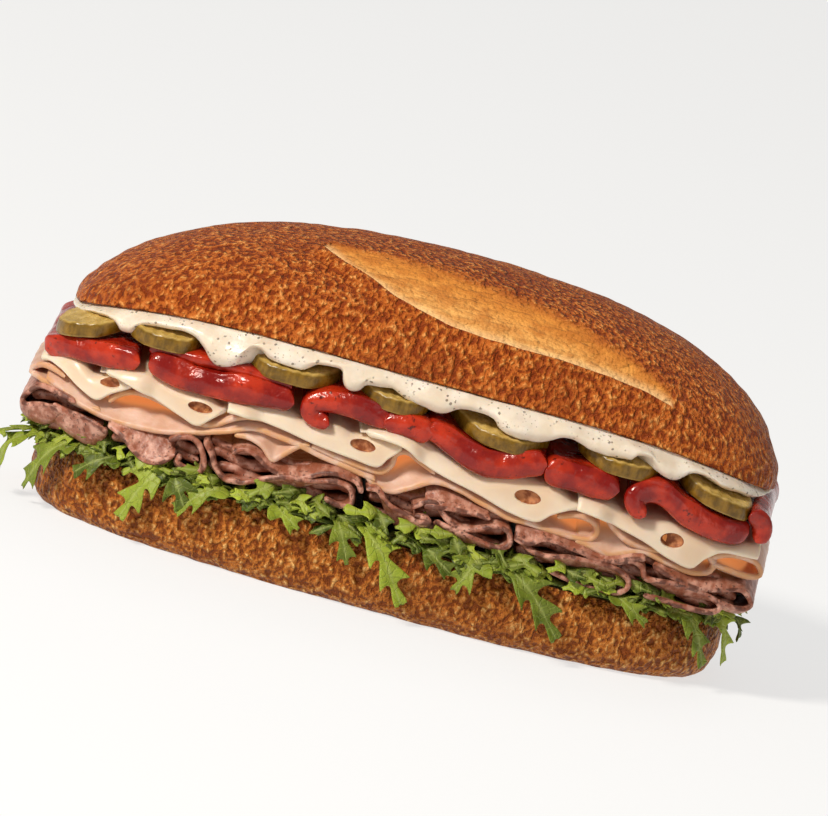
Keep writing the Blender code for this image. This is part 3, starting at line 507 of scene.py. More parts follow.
def pickle_chip(name, chip, side):
    middle, radius, height, rise = chip
    if side > 0:
        radius *= BACK_CHIP_SCALE
    centre_y = side * (fill_depth(middle) - radius + PICKLE_OVERHANG)
    turn = np.linspace(0.0, 2.0 * math.pi, CHIP_RIM_POINTS, endpoint=False)
    uneven = 1.0 + 0.02 * np.sin(3 * turn + middle) + 0.012 * np.sin(7 * turn + 2 * middle)
    profile = [(reach, 1.0) for reach in (0.0, 0.2, 0.4, 0.58, 0.72, 0.83, 0.91)]
    profile += [(0.955, 0.97), (0.98, 0.88), (0.995, 0.7), (1.0, 0.4), (1.004, 0.0)]
    profile += [(r, -z) for r, z in reversed(profile[:-1])]
    rings, skin = [], []
    for reach, lift in profile:
        across = radius * uneven * reach * np.cos(turn)
        deep = radius * uneven * reach * np.sin(turn)
        ripple = 0.15 * np.sin(2.0 * math.pi * across / CRINKLE) * float(smoothstep((lift - 0.45) / 0.5))
        dish = 0.35 * (1.0 - reach ** 2) * np.sign(lift)
        z = height + rise * across + 0.5 * PICKLE_THICKNESS * lift + ripple - dish
        rings.append(settle(middle + across, centre_y + deep, z))
        skin.append(np.full(CHIP_RIM_POINTS, smoothstep((reach - 0.965) / 0.03)))
    points, faces = stacked_rings(rings)
    chip_piece = new_piece(name, points, faces, {"skin": ring_shade(skin)})
    chip_piece.data.materials.append(pickle.material)
    return chip_piece


pickle = Finish(
    "pickled gherkin", Specular_IOR_Level=0.35,
    Subsurface_Weight=0.1, Subsurface_Scale=0.003, Subsurface_Radius=(0.8, 0.9, 0.2),
)
mottle = pickle.between(pickle.grain(2.6, 4.0), 0.35, 0.7)
streak = pickle.between(pickle.grain(1.6, 2.0, pickle.stretched(0.6, 0.6, 4.0)), 0.4, 0.65)
skin_colour = pickle.mix(mottle, (0.11, 0.055, 0.003), (0.23, 0.115, 0.006))
skin_colour = pickle.mix(streak * 0.2, skin_colour, (0.36, 0.21, 0.03))
flesh_colour = pickle.mix(mottle, (0.44, 0.28, 0.06), (0.62, 0.42, 0.13))
pickle.feed("Base Color", pickle.mix(pickle.shade("skin"), flesh_colour, skin_colour))
pickle.feed("Roughness", 0.2 + 0.16 * pickle.grain(2.0, 2.0))
pickle.bump(pickle.grain(1.4, 3.0), 0.18)
for number, chip in enumerate(PICKLE_CHIPS, 1):
    for row, side in (("front", -1.0), ("back", 1.0)):
        piece = pickle_chip(f"chip_{row}_{number}", chip, side)
        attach(piece, "root")
        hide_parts(f"pickle_{row}_{number}")


# Roasted red pepper: thick, soft, skinned strips, some folded over. They are wet with their own
# oil, so they shine, and they keep a few flecks of char from the flame.
PEPPER_OVERHANG = 2.0
PEPPER_BACK_THICKNESS = 0.62
PEPPER_LAYER_SET_BACK = 2.4

# A strip's layers, front one first, are read along the front as x, height and thickness.
PEPPER_STRIPS = {
    "pepper_1": [[(-103.4, 48.0, 7.4), (-99.4, 49.6, 7.2), (-95.5, 50.2, 6.6), (-88, 50.4, 8.0),
                  (-76.6, 51.4, 6.8)]],
    "pepper_2": [[(-74.4, 52.4, 5.0), (-70, 51.7, 7.2), (-62, 50.4, 8.6), (-54, 50.4, 8.6),
                  (-46, 51.6, 8.0), (-33.6, 51.9, 6.8)],
                 [(-75, 55.0, 2.8), (-62, 55.4, 3.4), (-48, 55.8, 3.6), (-35, 55.2, 3.0)]],
    "pepper_3": [[(-23.0, 48.6, 4.2), (-27.4, 49.6, 6.0), (-28.6, 52.4, 6.6), (-25.0, 54.4, 7.0),
                  (-18, 55.2, 7.4), (-12, 54.4, 7.2), (-7.0, 53.4, 6.0)]],
    "pepper_4": [[(-9.0, 53.6, 5.6), (-2, 54.0, 6.8), (5.0, 53.4, 5.8)]],
    "pepper_5": [[(3.2, 54.8, 5.4), (8, 53.8, 7.0), (13, 51.8, 8.0), (18, 50.2, 8.2), (22, 49.7, 8.2),
                  (27, 50.6, 8.2), (32, 52.4, 7.8), (37.4, 54.2, 6.4)]],
    "pepper_6": [[(37.2, 52.6, 7.4), (43, 52.2, 9.0), (50, 52.1, 9.2), (58.6, 52.4, 7.8)]],
    "pepper_7": [[(67.4, 47.4, 4.6), (64.4, 48.8, 6.2), (63.4, 51.8, 6.6), (67.0, 54.2, 6.8),
                  (71, 54.4, 6.8), (75.5, 52.4, 7.0), (80, 50.6, 7.8), (86, 49.3, 8.2), (92, 49.3, 8.0),
                  (96.4, 50.8, 6.4)]],
    "pepper_8": [[(95.4, 56.0, 4.0), (98.6, 54.4, 5.6), (99.8, 51.4, 6.0), (99.0, 48.6, 4.6)]],
}
HEM_ROWS = (0.0, 0.1, 0.3, 0.6, 1.0, 1.5, 2.1, 2.8, 3.7, 4.8, 6.1, 7.6, 9.4, 11.6)


def laid_line(knots, step):
    """A smooth line with closer points at its two ends, and each point's distance from an end."""
    line = smooth_line(knots, 0.2)
    length = np.concatenate([[0.0], np.cumsum(np.linalg.norm(np.diff(line[:, :2], axis=0), axis=1))])
    whole = length[-1]
    near = np.array([d for d in HEM_ROWS if d < min(2.5, whole / 3)])
    count = max(3, round((whole - 5.0) / step))
    inner = np.linspace(near[-1] + 0.6, whole - near[-1] - 0.6, count)
    want = np.concatenate([near, inner, whole - near[::-1]])
    line = np.stack([np.interp(want, length, column) for column in line.T], -1)
    return line, np.minimum(want, whole - want)


def laid_rows(depth):
    """Places across the roll, closer at the front and back hems, and each one's distance from a hem."""
    near = np.array(HEM_ROWS)[None, :] * np.minimum(1.0, depth[:, None] / 24.0)
    inner = np.linspace(-1.0, 1.0, 9)[None, 1:-1] * (depth[:, None] - near[:, -1:])
    rows = np.concatenate([near - depth[:, None], inner, depth[:, None] - near[:, ::-1]], axis=1)
    return rows, depth[:, None] - np.abs(rows)


def slab(middle, half):
    """A closed solid round a grid of points. half is half its thickness at each, 0 at the border."""
    normal = np.cross(np.gradient(middle, axis=0), np.gradient(middle, axis=1))
    normal /= np.maximum(np.linalg.norm(normal, axis=-1, keepdims=True), 1e-9)
    rows, columns = half.shape
    over = np.arange(rows * columns).reshape(rows, columns)
    under = over.copy()
    inner = np.arange((rows - 2) * (columns - 2)).reshape(rows - 2, columns - 2)
    under[1:-1, 1:-1] = rows * columns + inner
    top = (middle + normal * half[..., None]).reshape(-1, 3)
    low = (middle - normal * half[..., None])[1:-1, 1:-1].reshape(-1, 3)
    above = [over[:-1, :-1], over[1:, :-1], over[1:, 1:], over[:-1, 1:]]
    below = [under[:-1, :-1], under[:-1, 1:], under[1:, 1:], under[1:, :-1]]
    faces = [face for side in (above, below) for face in np.stack(side, -1).reshape(-1, 4).tolist()]
    return np.concatenate([top, low]), faces


def both_sides(shade):
    """A shade of a grid of points, for the points of the slab round it."""
    return np.concatenate([shade.reshape(-1), shade[1:-1, 1:-1].reshape(-1)])


def round_rim(distance, width):
    return np.sqrt(np.maximum(0.0, 1.0 - (1.0 - np.minimum(distance / width, 1.0)) ** 2))


def pepper_strip(knots, set_back, seed):
    """Points and faces of one strip, with an empty table of shades."""
    line, from_end = laid_line(knots, 0.8)
    x, z, thick = line[:, 0], line[:, 1], line[:, 2:3]
    rows, from_hem = laid_rows(fill_depth(x) + PEPPER_OVERHANG - set_back)
    flat = np.stack(np.broadcast_arrays(x[:, None], rows, z[:, None]), -1)
    limp = unevenness(flat, 8.0, seed)
    middle = settle(x[:, None], rows - 1.1 * limp, z[:, None] + 0.4 * limp)
    full = 1.0 - smoothstep(from_hem / 11.0)
    thick = thick * (PEPPER_BACK_THICKNESS + (1.0 - PEPPER_BACK_THICKNESS) * full)
    half = 0.5 * thick * round_rim(from_hem, 0.36 * thick) * round_rim(from_end[:, None], 0.36 * thick)
    half = half * (1.0 + 0.22 * unevenness(flat, 9.0, seed + 40) + 0.05 * unevenness(flat, 3.6, seed + 50))
    return *slab(middle, half), {}


def joined(parts):
    """Points, faces and shades of several closed bodies as one piece."""
    points, faces, shades, base = [], [], {}, 0
    for part_points, part_faces, part_shades in parts:
        points.append(part_points)
        faces.extend(tuple(base + v for v in face) for face in part_faces)
        for key, values in part_shades.items():
            shades.setdefault(key, []).append(values)
        base += len(part_points)
    return np.concatenate(points), faces, {key: np.concatenate(v) for key, v in shades.items()}


roasted = Finish(
    "roasted red pepper", Specular_IOR_Level=0.4, Specular_Tint=(1.0, 0.75, 0.7, 1.0),
    Coat_Weight=0.22, Coat_Roughness=0.06,
    Subsurface_Weight=0.08, Subsurface_Scale=0.003, Subsurface_Radius=(1.0, 0.12, 0.04),
)
blush = roasted.between(roasted.grain(8.0, 4.0), 0.36, 0.68)
red = roasted.mix(blush, (0.20, 0.005, 0.003), (0.48, 0.030, 0.007))
char = roasted.between(roasted.grain(1.6, 4.0), 0.58, 0.68)
char = char * roasted.between(roasted.grain(8.0, 1.0), 0.52, 0.62)
roasted.feed("Base Color", roasted.mix(char * 0.85, red, (0.035, 0.004, 0.003)))
roasted.feed("Roughness", 0.10 + 0.26 * roasted.grain(3.4, 3.0))
wrinkle = roasted.grain(3.4, 3.0, roasted.warped(roasted.place, 5.0, 3.0))
roasted.bump(wrinkle, 0.7)
for number, (name, layers) in enumerate(PEPPER_STRIPS.items()):
    parts = [
        pepper_strip(knots, PEPPER_LAYER_SET_BACK * k, 10 + number + 20 * k) for k, knots in enumerate(layers)
    ]
    piece = new_piece(f"roasted_{name}", *joined(parts))
    piece.data.materials.append(roasted.material)
    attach(piece, "root")
    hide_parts(name)


# Cheese: smooth pale slices with round eyes, laid so that each covers the right end of the one
# before. They are warm and limp, and their corners hang down over the meat at the front.
CHEESE_THICKNESS = 2.2
EYE_FLOOR = 1.8
CHEESE_BEND = 2.4
CHEESE_OVERLAP = 2.7
CHEESE_BACK_HANG = 4.0
CHEESE_RIM = 0.7
CHEESE_TOP = [
    (-110, 43.5), (-103, 46.3), (-96, 47.4), (-87, 46.4), (-79, 48.3), (-72, 48.4), (-66, 47.2),
    (-59, 46.2), (-50, 47), (-42, 47.9), (-34, 48), (-25, 46.8), (-14, 49.4), (-4, 51.6), (4, 50),
    (12, 47.4), (20, 45.6), (30, 47.2), (44, 47.6), (57, 47.4), (66, 45.2), (74, 46.4), (82, 45.2),
    (92, 44.6), (98, 47), (106, 46),
]

# A slice is its front hem, as x and height, and its eye, as x, height and half its two widths.
CHEESE_SLICES = {
    "cheese_1": ([(-103.6, 44.1), (-101, 44.4), (-97, 43), (-90.5, 39.2), (-85.4, 37.4), (-82, 40),
                  (-77, 43)], (-83.6, 43.6, 3.3, 1.6)),
    "cheese_2": ([(-86.5, 46), (-80, 45), (-70, 42), (-62, 39.2), (-57, 37.8), (-53.5, 40.8), (-50.5, 43),
                  (-47.4, 44.2)], (-57.6, 43.4, 3.5, 1.5)),
    "cheese_3": ([(-50.5, 44.4), (-44, 44.2), (-34, 43), (-24, 41.4), (-14, 40.4), (-7, 40), (-4.6, 43),
                  (-1.5, 46.4)], (-12.4, 45.2, 3.6, 1.7)),
    "cheese_4": ([(-14, 48.8), (-7, 48.6), (-1, 47.8), (4.5, 44.6), (12, 42.2), (22, 40), (31, 37.6),
                  (38.8, 37), (42.6, 40), (47, 42.4), (53, 43.8)], (34.8, 43.6, 3.7, 2.0)),
    "cheese_5": ([(48.5, 44), (55, 43.4), (62, 41.4), (70, 39.4), (77, 37), (83.4, 36), (86.4, 39.4),
                  (90, 42), (95, 43), (100.6, 43.4)], (76.6, 42.6, 3.3, 2.1)),
}


def cheese_slice(name, neighbours):
    """A slice that lies over the right end of the one before and under the one after."""
    before, (hem, hole), after = neighbours
    first, last = hem[0][0], hem[-1][0]
    near = np.array(HEM_ROWS[:6])
    x = np.concatenate([first + near, np.linspace(first + 2.4, last - 2.4, round((last - first) / 1.0)),
                        last - near[::-1]])
    proud = np.zeros_like(x)
    tucked = np.zeros_like(x)
    if before:
        proud = CHEESE_OVERLAP * (1.0 - smoothstep((x - before[0][-1][0] - 1.0) / 6.0))
    if after:
        tucked = CHEESE_OVERLAP * smoothstep((x - after[0][0][0] + 1.0) / 6.0 + 1.0)
    inner = fill_depth(x) - 1.0 + proud
    crest = height_on(CHEESE_TOP, x) - 0.5 * CHEESE_THICKNESS - tucked
    rows = []
    for side, low in ((-1.0, height_on(hem, x)), (1.0, crest - CHEESE_BACK_HANG)):
        straight = np.maximum(0.0, crest - CHEESE_BEND - low)
        turned = np.where(
            straight > 0.0,
            0.5 * math.pi * CHEESE_BEND,
            CHEESE_BEND * np.arccos(np.clip(1.0 - (crest - low) / CHEESE_BEND, 0.0, 1.0)),
        )
        whole = turned + straight
        near_hem = 1.0 - np.array([1.6, 1.1, 0.7, 0.4, 0.2, 0.07, 0.0]) / 8.0
        shares = np.concatenate([np.linspace(0.0, 0.78, 12), near_hem])
        part = []
        for share in shares:
            travel = share * whole
            angle = np.minimum(travel, turned) / CHEESE_BEND
            y = side * (inner - CHEESE_BEND + CHEESE_BEND * np.sin(angle))
            z = crest - CHEESE_BEND + CHEESE_BEND * np.cos(angle) - np.maximum(0.0, travel - turned)
            part.append((y, z, (1.0 - share) * whole))
        rows.append(part)
    flat = []
    for share in np.linspace(-1.0, 1.0, 14)[1:-1]:
        flat.append((share * (inner - CHEESE_BEND), crest, np.full_like(x, 20.0)))
    path = [*reversed(rows[0]), *flat, *rows[1]]
    y = np.stack([p[0] for p in path], 1)
    z = np.stack([p[1] for p in path], 1)
    from_hem = np.stack([p[2] for p in path], 1)
    limp = unevenness(np.stack(np.broadcast_arrays(x[:, None], y, z), -1), 11.0, 60)
    middle = settle(np.broadcast_to(x[:, None], y.shape), y - 0.35 * limp, z + 0.3 * limp)
    from_end = np.minimum(x - first, last - x)[:, None]
    half = 0.5 * CHEESE_THICKNESS * round_rim(from_hem, CHEESE_RIM) * round_rim(from_end, CHEESE_RIM)
    rim = both_sides(np.exp(-np.minimum(from_hem, from_end) / 1.2))
    piece = new_piece(name, *slab(middle, half), {"rim": rim})
    piece.data.materials.append(cheese.material)
    piece.data.materials.append(shown_through.material)
    cut_eye(piece, hole)
    return piece


def cut_eye(piece, hole):
    """Cut the round eye that shows near the hanging corner."""
    x, z, half_width, half_height = hole
    x = np.array([x])
    place = settle(x, -fill_depth(x), np.array([z]))[0]
    turn = np.linspace(0.0, 2.0 * math.pi, 40, endpoint=False)
    rim = np.stack([half_width * np.cos(turn), np.zeros(40), half_height * np.sin(turn)], -1)
    points, faces = stacked_rings(
        [place + (0, -8, 0), place + rim + (0, -8, 0), place + rim + (0, EYE_FLOOR - 0.7, 0),
         place + 0.7 * rim + (0, EYE_FLOOR, 0), place + (0, EYE_FLOOR, 0)]
    )
    cutter = new_piece("eye_cutter", points, faces)
    cutter.data.materials.append(cheese.material)
    cutter.data.materials.append(shown_through.material)
    # the floor of the blind eye takes the dark brown finish, which stands for the meat behind with painted
    # shade on it
    for face in cutter.data.polygons:
        face.material_index = 1 if face.center.y > (place[1] + EYE_FLOOR - 1.0) * MM else 0
    cut = piece.modifiers.new("eye", "BOOLEAN")
    cut.object = cutter
    cut.solver = "EXACT"
    bpy.context.view_layer.update()
    graph = bpy.context.evaluated_depsgraph_get()
    carved = bpy.data.meshes.new_from_object(piece.evaluated_get(graph))
    piece.modifiers.clear()
    piece.data = carved
    bpy.data.objects.remove(cutter, do_unlink=True)
    carved.shade_smooth()
    carved.set_sharp_from_angle(angle=math.radians(50))


cheese = Finish(
    "holed cheese", Subsurface_Weight=0.3, Subsurface_Scale=0.005, Subsurface_Radius=(1.0, 0.65, 0.25)
)
milky = cheese.between(cheese.grain(14.0, 3.0), 0.35, 0.7)
paste = cheese.mix(milky, (0.70, 0.51, 0.34), (0.77, 0.61, 0.45))
cheese.feed("Base Color", cheese.mix(cheese.shade("rim") * 0.6, paste, (0.84, 0.73, 0.58)))
cheese.feed("Roughness", 0.28 + 0.16 * cheese.grain(5.0, 3.0))
cheese.bump(cheese.grain(2.2, 4.0), 0.12)
# The eye's floor: the meat behind the eye, painted darker as painted shade down the hole.
shown_through = Finish("meat in painted shade through an eye", Roughness=0.5, Specular_IOR_Level=0.2)
browned = shown_through.between(shown_through.grain(2.0, 3.0), 0.38, 0.62)
shown_through.feed("Base Color", shown_through.mix(browned, (0.22, 0.06, 0.02), (0.50, 0.20, 0.08)))
slices = [None, *CHEESE_SLICES.values(), None]
for name, *neighbours in zip(CHEESE_SLICES, slices, slices[1:], slices[2:]):
    piece = cheese_slice(f"slice_of_{name}", neighbours)
    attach(piece, "root")
    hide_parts(name)


# Turkey: thin, smooth, pale slices laid in loose loops and waves. Their rims are golden brown
# from roasting. The warm orange light inside a loop is painted light: the further behind the
# front hem, the more orange the colour and the stronger a faint painted glow.
TURKEY_THICKNESS = 1.75
TURKEY_OVERHANG = -1.6
OUTER_END = 96.0

# A slice is read along the front as x, height, and how far its hem hangs below or turns up
# from there. The last number is how far in from the front that reaches.
TURKEY_FOLDS = {
    "turkey_1": ([(-83.5, 34.4, 0), (-90, 36.4, -2), (-97, 38.2, -1.5), (-103, 38.8, 0), (-106, 40.4, 0),
                  (-103.6, 42.3, 0), (-99.4, 42.3, 0), (-95.6, 40.9, 0)], 5.0),
    "turkey_2": ([(-82, 37.4, 0), (-79, 40.2, 0), (-74.4, 41.8, 0), (-69, 41.2, 0), (-62.5, 39.4, 0),
                  (-56, 38, 0), (-52, 39, 0), (-48, 40.8, 1.0), (-44.2, 43.2, 0), (-38.6, 43.8, 0),
                  (-32, 43, 0)], 5.0),
    "turkey_3": ([(-101, 41.0, -1.5), (-96, 39.8, -2.5), (-90, 37.8, -3.2), (-84, 36.2, -3.0),
                  (-79, 35.4, -2.6), (-71, 35.8, -3.0), (-63, 36.6, -2.8), (-55, 37.4, -1.5),
                  (-48, 39.2, -1.0), (-42, 41.6, -1.0), (-35.4, 41.9, -1.5), (-28, 40.8, -1.5),
                  (-20, 39.4, -1.5), (-13.2, 38.4, -1.5), (-6.4, 37.2, -1.2)], 5.0),
    "turkey_4": ([(-46.5, 37.6, 0), (-42.6, 39.6, -1.6), (-38.4, 41.2, -4.4), (-35.2, 40.6, -6.6),
                  (-33.0, 39.4, -4), (-29.5, 39.6, -1.0), (-26, 40.4, 0)], 7.0),
    "turkey_5": ([(-25.5, 41.8, -1.4), (-17, 40.4, -1.4), (-10, 39.4, -1.2), (-5.2, 38.9, -0.6),
                  (-3, 41, 0), (-2.6, 44.2, 0), (0.4, 45.6, 0), (4.4, 44, 0), (9, 42, 0)], 5.0),
    "turkey_6": ([(-9.0, 36.6, -0.4), (-5.4, 35.8, -1.4), (-1, 37.2, -3.0), (3.5, 40.2, -3.6),
                  (10, 41.4, -1.6), (17, 41.0, -1.6), (24, 39.6, -2.2), (31, 38.0, -2.2), (38, 37.4, -1.8),
                  (44, 36.6, -1.4), (50, 35, 0), (54.8, 35.8, 0), (56.2, 38.4, 0), (54, 40.8, 0),
                  (49.4, 41, 0), (44.4, 39.4, 0)], 6.0),
    "turkey_7": ([(51, 35.6, -1), (56, 37.6, -3.6), (61, 38.4, -5.0), (65.5, 38.6, -3.6), (71, 38.0, -1.6),
                  (77.5, 36.6, -1.4), (84, 35.8, -1.2), (88.4, 36.2, -0.6), (89.6, 38.4, 0),
                  (86.4, 40.6, 0)], 6.0),
    "turkey_8": ([(57.4, 43.0, 0), (60.4, 41.6, -1.2), (65, 39.8, -1.6), (71, 38.6, -1.0),
                  (75, 38.2, 0)], 5.0),
    "turkey_9": ([(88.0, 39.6, 0), (91.8, 41.6, 0), (95.4, 42.4, 0), (100.4, 42.0, 0), (102.6, 39.4, 0),
                  (100.4, 36.8, 1.0), (94.6, 36.4, 1.6), (89.5, 37.6, 1.0)], 5.0),
}


def meat_sheet(knots, reach, thickness, overhang, seed):
    """Points, faces and shades of a sheet from front to back, its front hem hung or turned up."""
    line, from_end = laid_line(knots, 1.0)
    x, z, hang = line[:, 0], line[:, 1], line[:, 2]
    rows, from_hem = laid_rows(fill_depth(x) + overhang)
    hemward = 1.0 - smoothstep(from_hem / reach)
    hemward = np.where(rows < 0, hemward, 0.25 * hemward)
    flat = np.stack(np.broadcast_arrays(x[:, None], rows, z[:, None]), -1)
    limp = unevenness(flat, 5.0, seed)
    bulge = 0.16 * np.abs(hang)[:, None] * hemward
    y = rows + np.where(rows < 0, -1.0, 1.0) * bulge - 0.3 * limp * hemward
    z = z[:, None] + hang[:, None] * hemward + (0.12 + 0.25 * hemward) * limp
    middle = settle(np.broadcast_to(x[:, None], y.shape), y, z)
    rim = round_rim(from_hem, 0.6 * thickness) * round_rim(from_end[:, None], 0.6 * thickness)
    half = 0.5 * thickness * rim * (1.0 + 0.15 * unevenness(flat, 3.0, seed + 30))
    points, faces = slab(middle, half)
    edge = np.minimum(from_hem, from_end[:, None])
    # inside is how far a point lies behind the front hem. It drives the turkey's painted warm light and the
    # beef's painted shade, and fades out past OUTER_END, so that the outer faces at the roll's ends get
    # neither.
    inside = from_hem * (1.0 - smoothstep((np.abs(x)[:, None] - OUTER_END) / 4.0))
    return points, faces, {"edge": both_sides(edge), "inside": both_sides(inside)}


turkey = Finish(
    "sliced turkey", Specular_IOR_Level=0.35, Emission_Strength=1.0,
    Subsurface_Weight=0.25, Subsurface_Scale=0.004, Subsurface_Radius=(1.0, 0.45, 0.2),
)
pale = turkey.mix(turkey.between(turkey.grain(6.0, 4.0), 0.35, 0.7), (0.58, 0.33, 0.22), (0.68, 0.45, 0.34))
# painted light: deep behind the hem the turkey is painted a warmer orange and made to glow faintly, in place
# of light that passes through the thin slices and turns warm
deep = turkey.between(turkey.shade("inside"), 3.0, 11.0)
browned = 1.0 - turkey.between(turkey.shade("edge"), 0.25, 1.3)
browned = browned * turkey.between(turkey.grain(5.0, 2.0), 0.35, 0.6)
colour = turkey.mix(deep, pale, (0.72, 0.36, 0.15))
turkey.feed("Base Color", turkey.mix(browned * 0.7, colour, (0.58, 0.27, 0.085)))
glow = turkey.between(turkey.shade("inside"), 2.5, 8.0)
turkey.feed("Emission Color", turkey.mix(glow, (0.0, 0.0, 0.0), (0.26, 0.125, 0.042)))
turkey.feed("Roughness", 0.3 + 0.2 * turkey.grain(3.0, 3.0))
turkey.bump(turkey.grain(1.6, 4.0, turkey.stretched(2.0, 2.0, 1.0)), 0.14)
for number, (name, (knots, reach)) in enumerate(TURKEY_FOLDS.items()):
    sheet = meat_sheet(knots, reach, TURKEY_THICKNESS, TURKEY_OVERHANG, 70 + number)
    piece = new_piece(f"slice_of_{name}", *sheet)
    piece.data.materials.append(turkey.material)
    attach(piece, "root")
    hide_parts(name)


# Roast beef: thin pinkish brown slices, ruffled into tight curls, with a dark peppered crust at
# their rims and a coarse grain of muscle fibres on their faces.
BEEF_THICKNESS = 1.6
BEEF_OVERHANG = 0.4
RUFFLE_HEIGHTS = (27.2, 30.2, 33.2)
RUFFLE_THICKNESS = 1.8 * BEEF_THICKNESS
RUFFLE_SET_BACK = 4.4

# Read as the turkey's folds are.
BEEF_FOLDS = {
    "beef_1": ([(-91, 35.4, 0), (-97, 36.6, 0.4), (-102.5, 36.6, 0.6), (-106, 33, 0), (-105, 28.8, 3.0),
                (-100.5, 27, 6.0), (-96, 28.2, 4.6), (-93.4, 31, 1)], 3.5),
    "beef_2": ([(-97, 29.4, 4.4), (-92.6, 27.2, 6.0), (-88, 25.4, 7.2), (-84.0, 25.0, 6.8),
                (-81.4, 26.6, 4.0), (-80.6, 30.0, 0)], 4.0),
    "beef_3": ([(-80.6, 33.0, -1.0), (-76.5, 33.2, -3.2), (-72, 33.0, -6.2), (-67.6, 32.6, -7.6),
                (-63.6, 32.0, -6.0), (-61, 31.2, -2.0)], 5.0),
    "beef_4": ([(-63.5, 32.2, 0), (-59.3, 33.6, 0.8), (-55.4, 32.6, 0.8), (-52.8, 29, 0), (-53, 26.2, 0),
                (-56, 24.6, 1.2), (-59.6, 25.6, 1.6), (-59.4, 28.8, 0)], 4.0),
    "beef_5": ([(-54, 35.2, -0.6), (-51.2, 31.5, 0), (-49.2, 27.6, 1.0), (-46.2, 25.4, 0.6),
                (-43.6, 26.0, 0), (-41.0, 26.4, 0), (-37.2, 26.6, 2.0), (-32, 27.4, 3.6), (-26, 28.8, 3.0),
                (-21.5, 31.2, 1.2), (-16.6, 33.4, 0.4), (-12.4, 32.4, 0), (-11.2, 28.8, 0),
                (-14.2, 26.6, 0.8), (-18.6, 27.6, 0.6)], 4.5),
    "beef_6": ([(-46, 33.0, 0.6), (-43.4, 34.8, 0.6), (-40, 35.4, -0.6), (-36.5, 34.2, -1.6),
                (-31, 32.6, -1.6), (-26, 33.2, -1.2), (-21.5, 35.2, -0.8), (-16.5, 36.4, -0.8),
                (-11.5, 35.2, -0.4), (-9.2, 32.2, 0)], 4.0),
    "beef_7": ([(-8.4, 33.9, 0), (-5.4, 34.4, 0), (-3.4, 32.4, 0.4), (-1.2, 29.2, 2.2), (2.4, 25.8, 5.0),
                (6.8, 24.8, 4.4), (10.2, 26.4, 3.0), (10.0, 29.6, 0.6), (6.2, 30.2, 0)], 4.5),
    "beef_8": ([(5.0, 32.0, 0), (8.0, 33.6, 1.0), (11, 33.8, 1.6), (15, 31.6, 0), (19.5, 30.2, 0),
                (24, 31.0, 0), (28.5, 33.2, 0), (32.4, 32.6, 0), (33.4, 29.2, 0), (30.4, 26.8, 1.0),
                (24.2, 26.6, 2.0), (18, 26.8, 2.6), (12, 28.6, 2.0)], 4.0),
    "beef_9": ([(8, 36.4, -3.0), (12, 37.6, -3.4), (16, 36.8, -2.0), (21, 36.0, -1.0),
                (26.5, 35.6, -0.6)], 5.0),
    "beef_10": ([(34.2, 35.2, -3.6), (38.5, 35.6, -4.6), (42, 35.4, -2.0), (46, 34.6, -1.2),
                 (52, 34.0, -1.2), (57, 33.6, -1.6), (62, 34.0, -1.6), (67, 35.4, -1.0),
                 (71, 36.2, -0.6)], 5.0),
    "beef_11": ([(36.4, 33.0, 0), (38.6, 29.4, 0.6), (43, 27.6, 1.4), (50, 27.6, 3.0), (58, 28.2, 3.2),
                 (65, 28.6, 2.0), (68.4, 27.2, 0.4), (66.4, 24.6, 0), (60, 23.4, 0.4), (53, 23.6, 0.6),
                 (46, 25.0, 0.6)], 4.5),
    "beef_12": ([(62.5, 31.6, 0.6), (67.5, 33.4, 0.6), (70.6, 33.0, 0), (72.4, 30.2, 0), (77, 28.4, 2.6),
                 (84, 28.0, 3.4), (90, 28.6, 2.0), (94.4, 28.2, 0), (92, 25.4, 0.4), (85, 24.6, 1.0),
                 (78.5, 25.0, 1.0), (73, 25.8, 0)], 4.5),
    "beef_13": ([(73.5, 34.4, 0), (80, 33.4, -1.0), (88, 33.2, -1.6), (94, 34.4, -1.4), (99, 34.2, 0),
                 (102.2, 31.4, 0), (101, 28.4, 1.0), (97, 27.2, 2.0), (93, 28.4, 1.4)], 4.0),
}


def inner_ruffles(knots, seed):
    """The folds of the same slice that lie behind those at its front, as short wavy lines."""
    xs = [x for x, _, _ in knots]
    first, last = max(min(xs) + 2.0, -104.0), min(max(xs) - 1.0, 98.0)
    lines = []
    for level, height in enumerate(RUFFLE_HEIGHTS):
        x = np.linspace(first, last, max(4, round((last - first) / 3.2)))
        z = height + 0.7 * np.sin(x / 2.9 + 1.9 * level + seed)
        lines.append([(float(a), float(b), 0.6) for a, b in zip(x, z)])
    return lines


def ruffled_slice(name, knots, reach, number):
    """A slice with its inner ruffles, which are doubled over and lie behind its hem, painted darker as
    painted shade.
    """
    seed = 90 + number
    sheets = [meat_sheet(knots, reach, BEEF_THICKNESS, BEEF_OVERHANG, seed)]
    for level, ruffle in enumerate(inner_ruffles(knots, number)):
        points, faces, shades = meat_sheet(
            ruffle, 3.0, RUFFLE_THICKNESS, BEEF_OVERHANG - RUFFLE_SET_BACK, seed + 7 * level
        )
        # the ruffles count as lying deeper, so they take more painted shade, and as lying away from a rim, so
        # they get no dark crust
        shades["inside"] += 3.0
        shades["edge"] += 1.0
        sheets.append((points, faces, shades))
    return new_piece(name, *joined(sheets))


beef = Finish(
    "roast beef", Specular_IOR_Level=0.35,
    Subsurface_Weight=0.15, Subsurface_Scale=0.003, Subsurface_Radius=(1.0, 0.3, 0.2),
)
fibre = beef.between(beef.grain(2.4, 4.0, beef.stretched(1.0, 2.5, 1.0)), 0.36, 0.66)
cloud = beef.between(beef.grain(8.0, 2.0), 0.38, 0.66)
meat = beef.mix(fibre, (0.30, 0.095, 0.05), (0.64, 0.33, 0.235))
meat = beef.mix(cloud * 0.6, meat, (0.22, 0.06, 0.026))
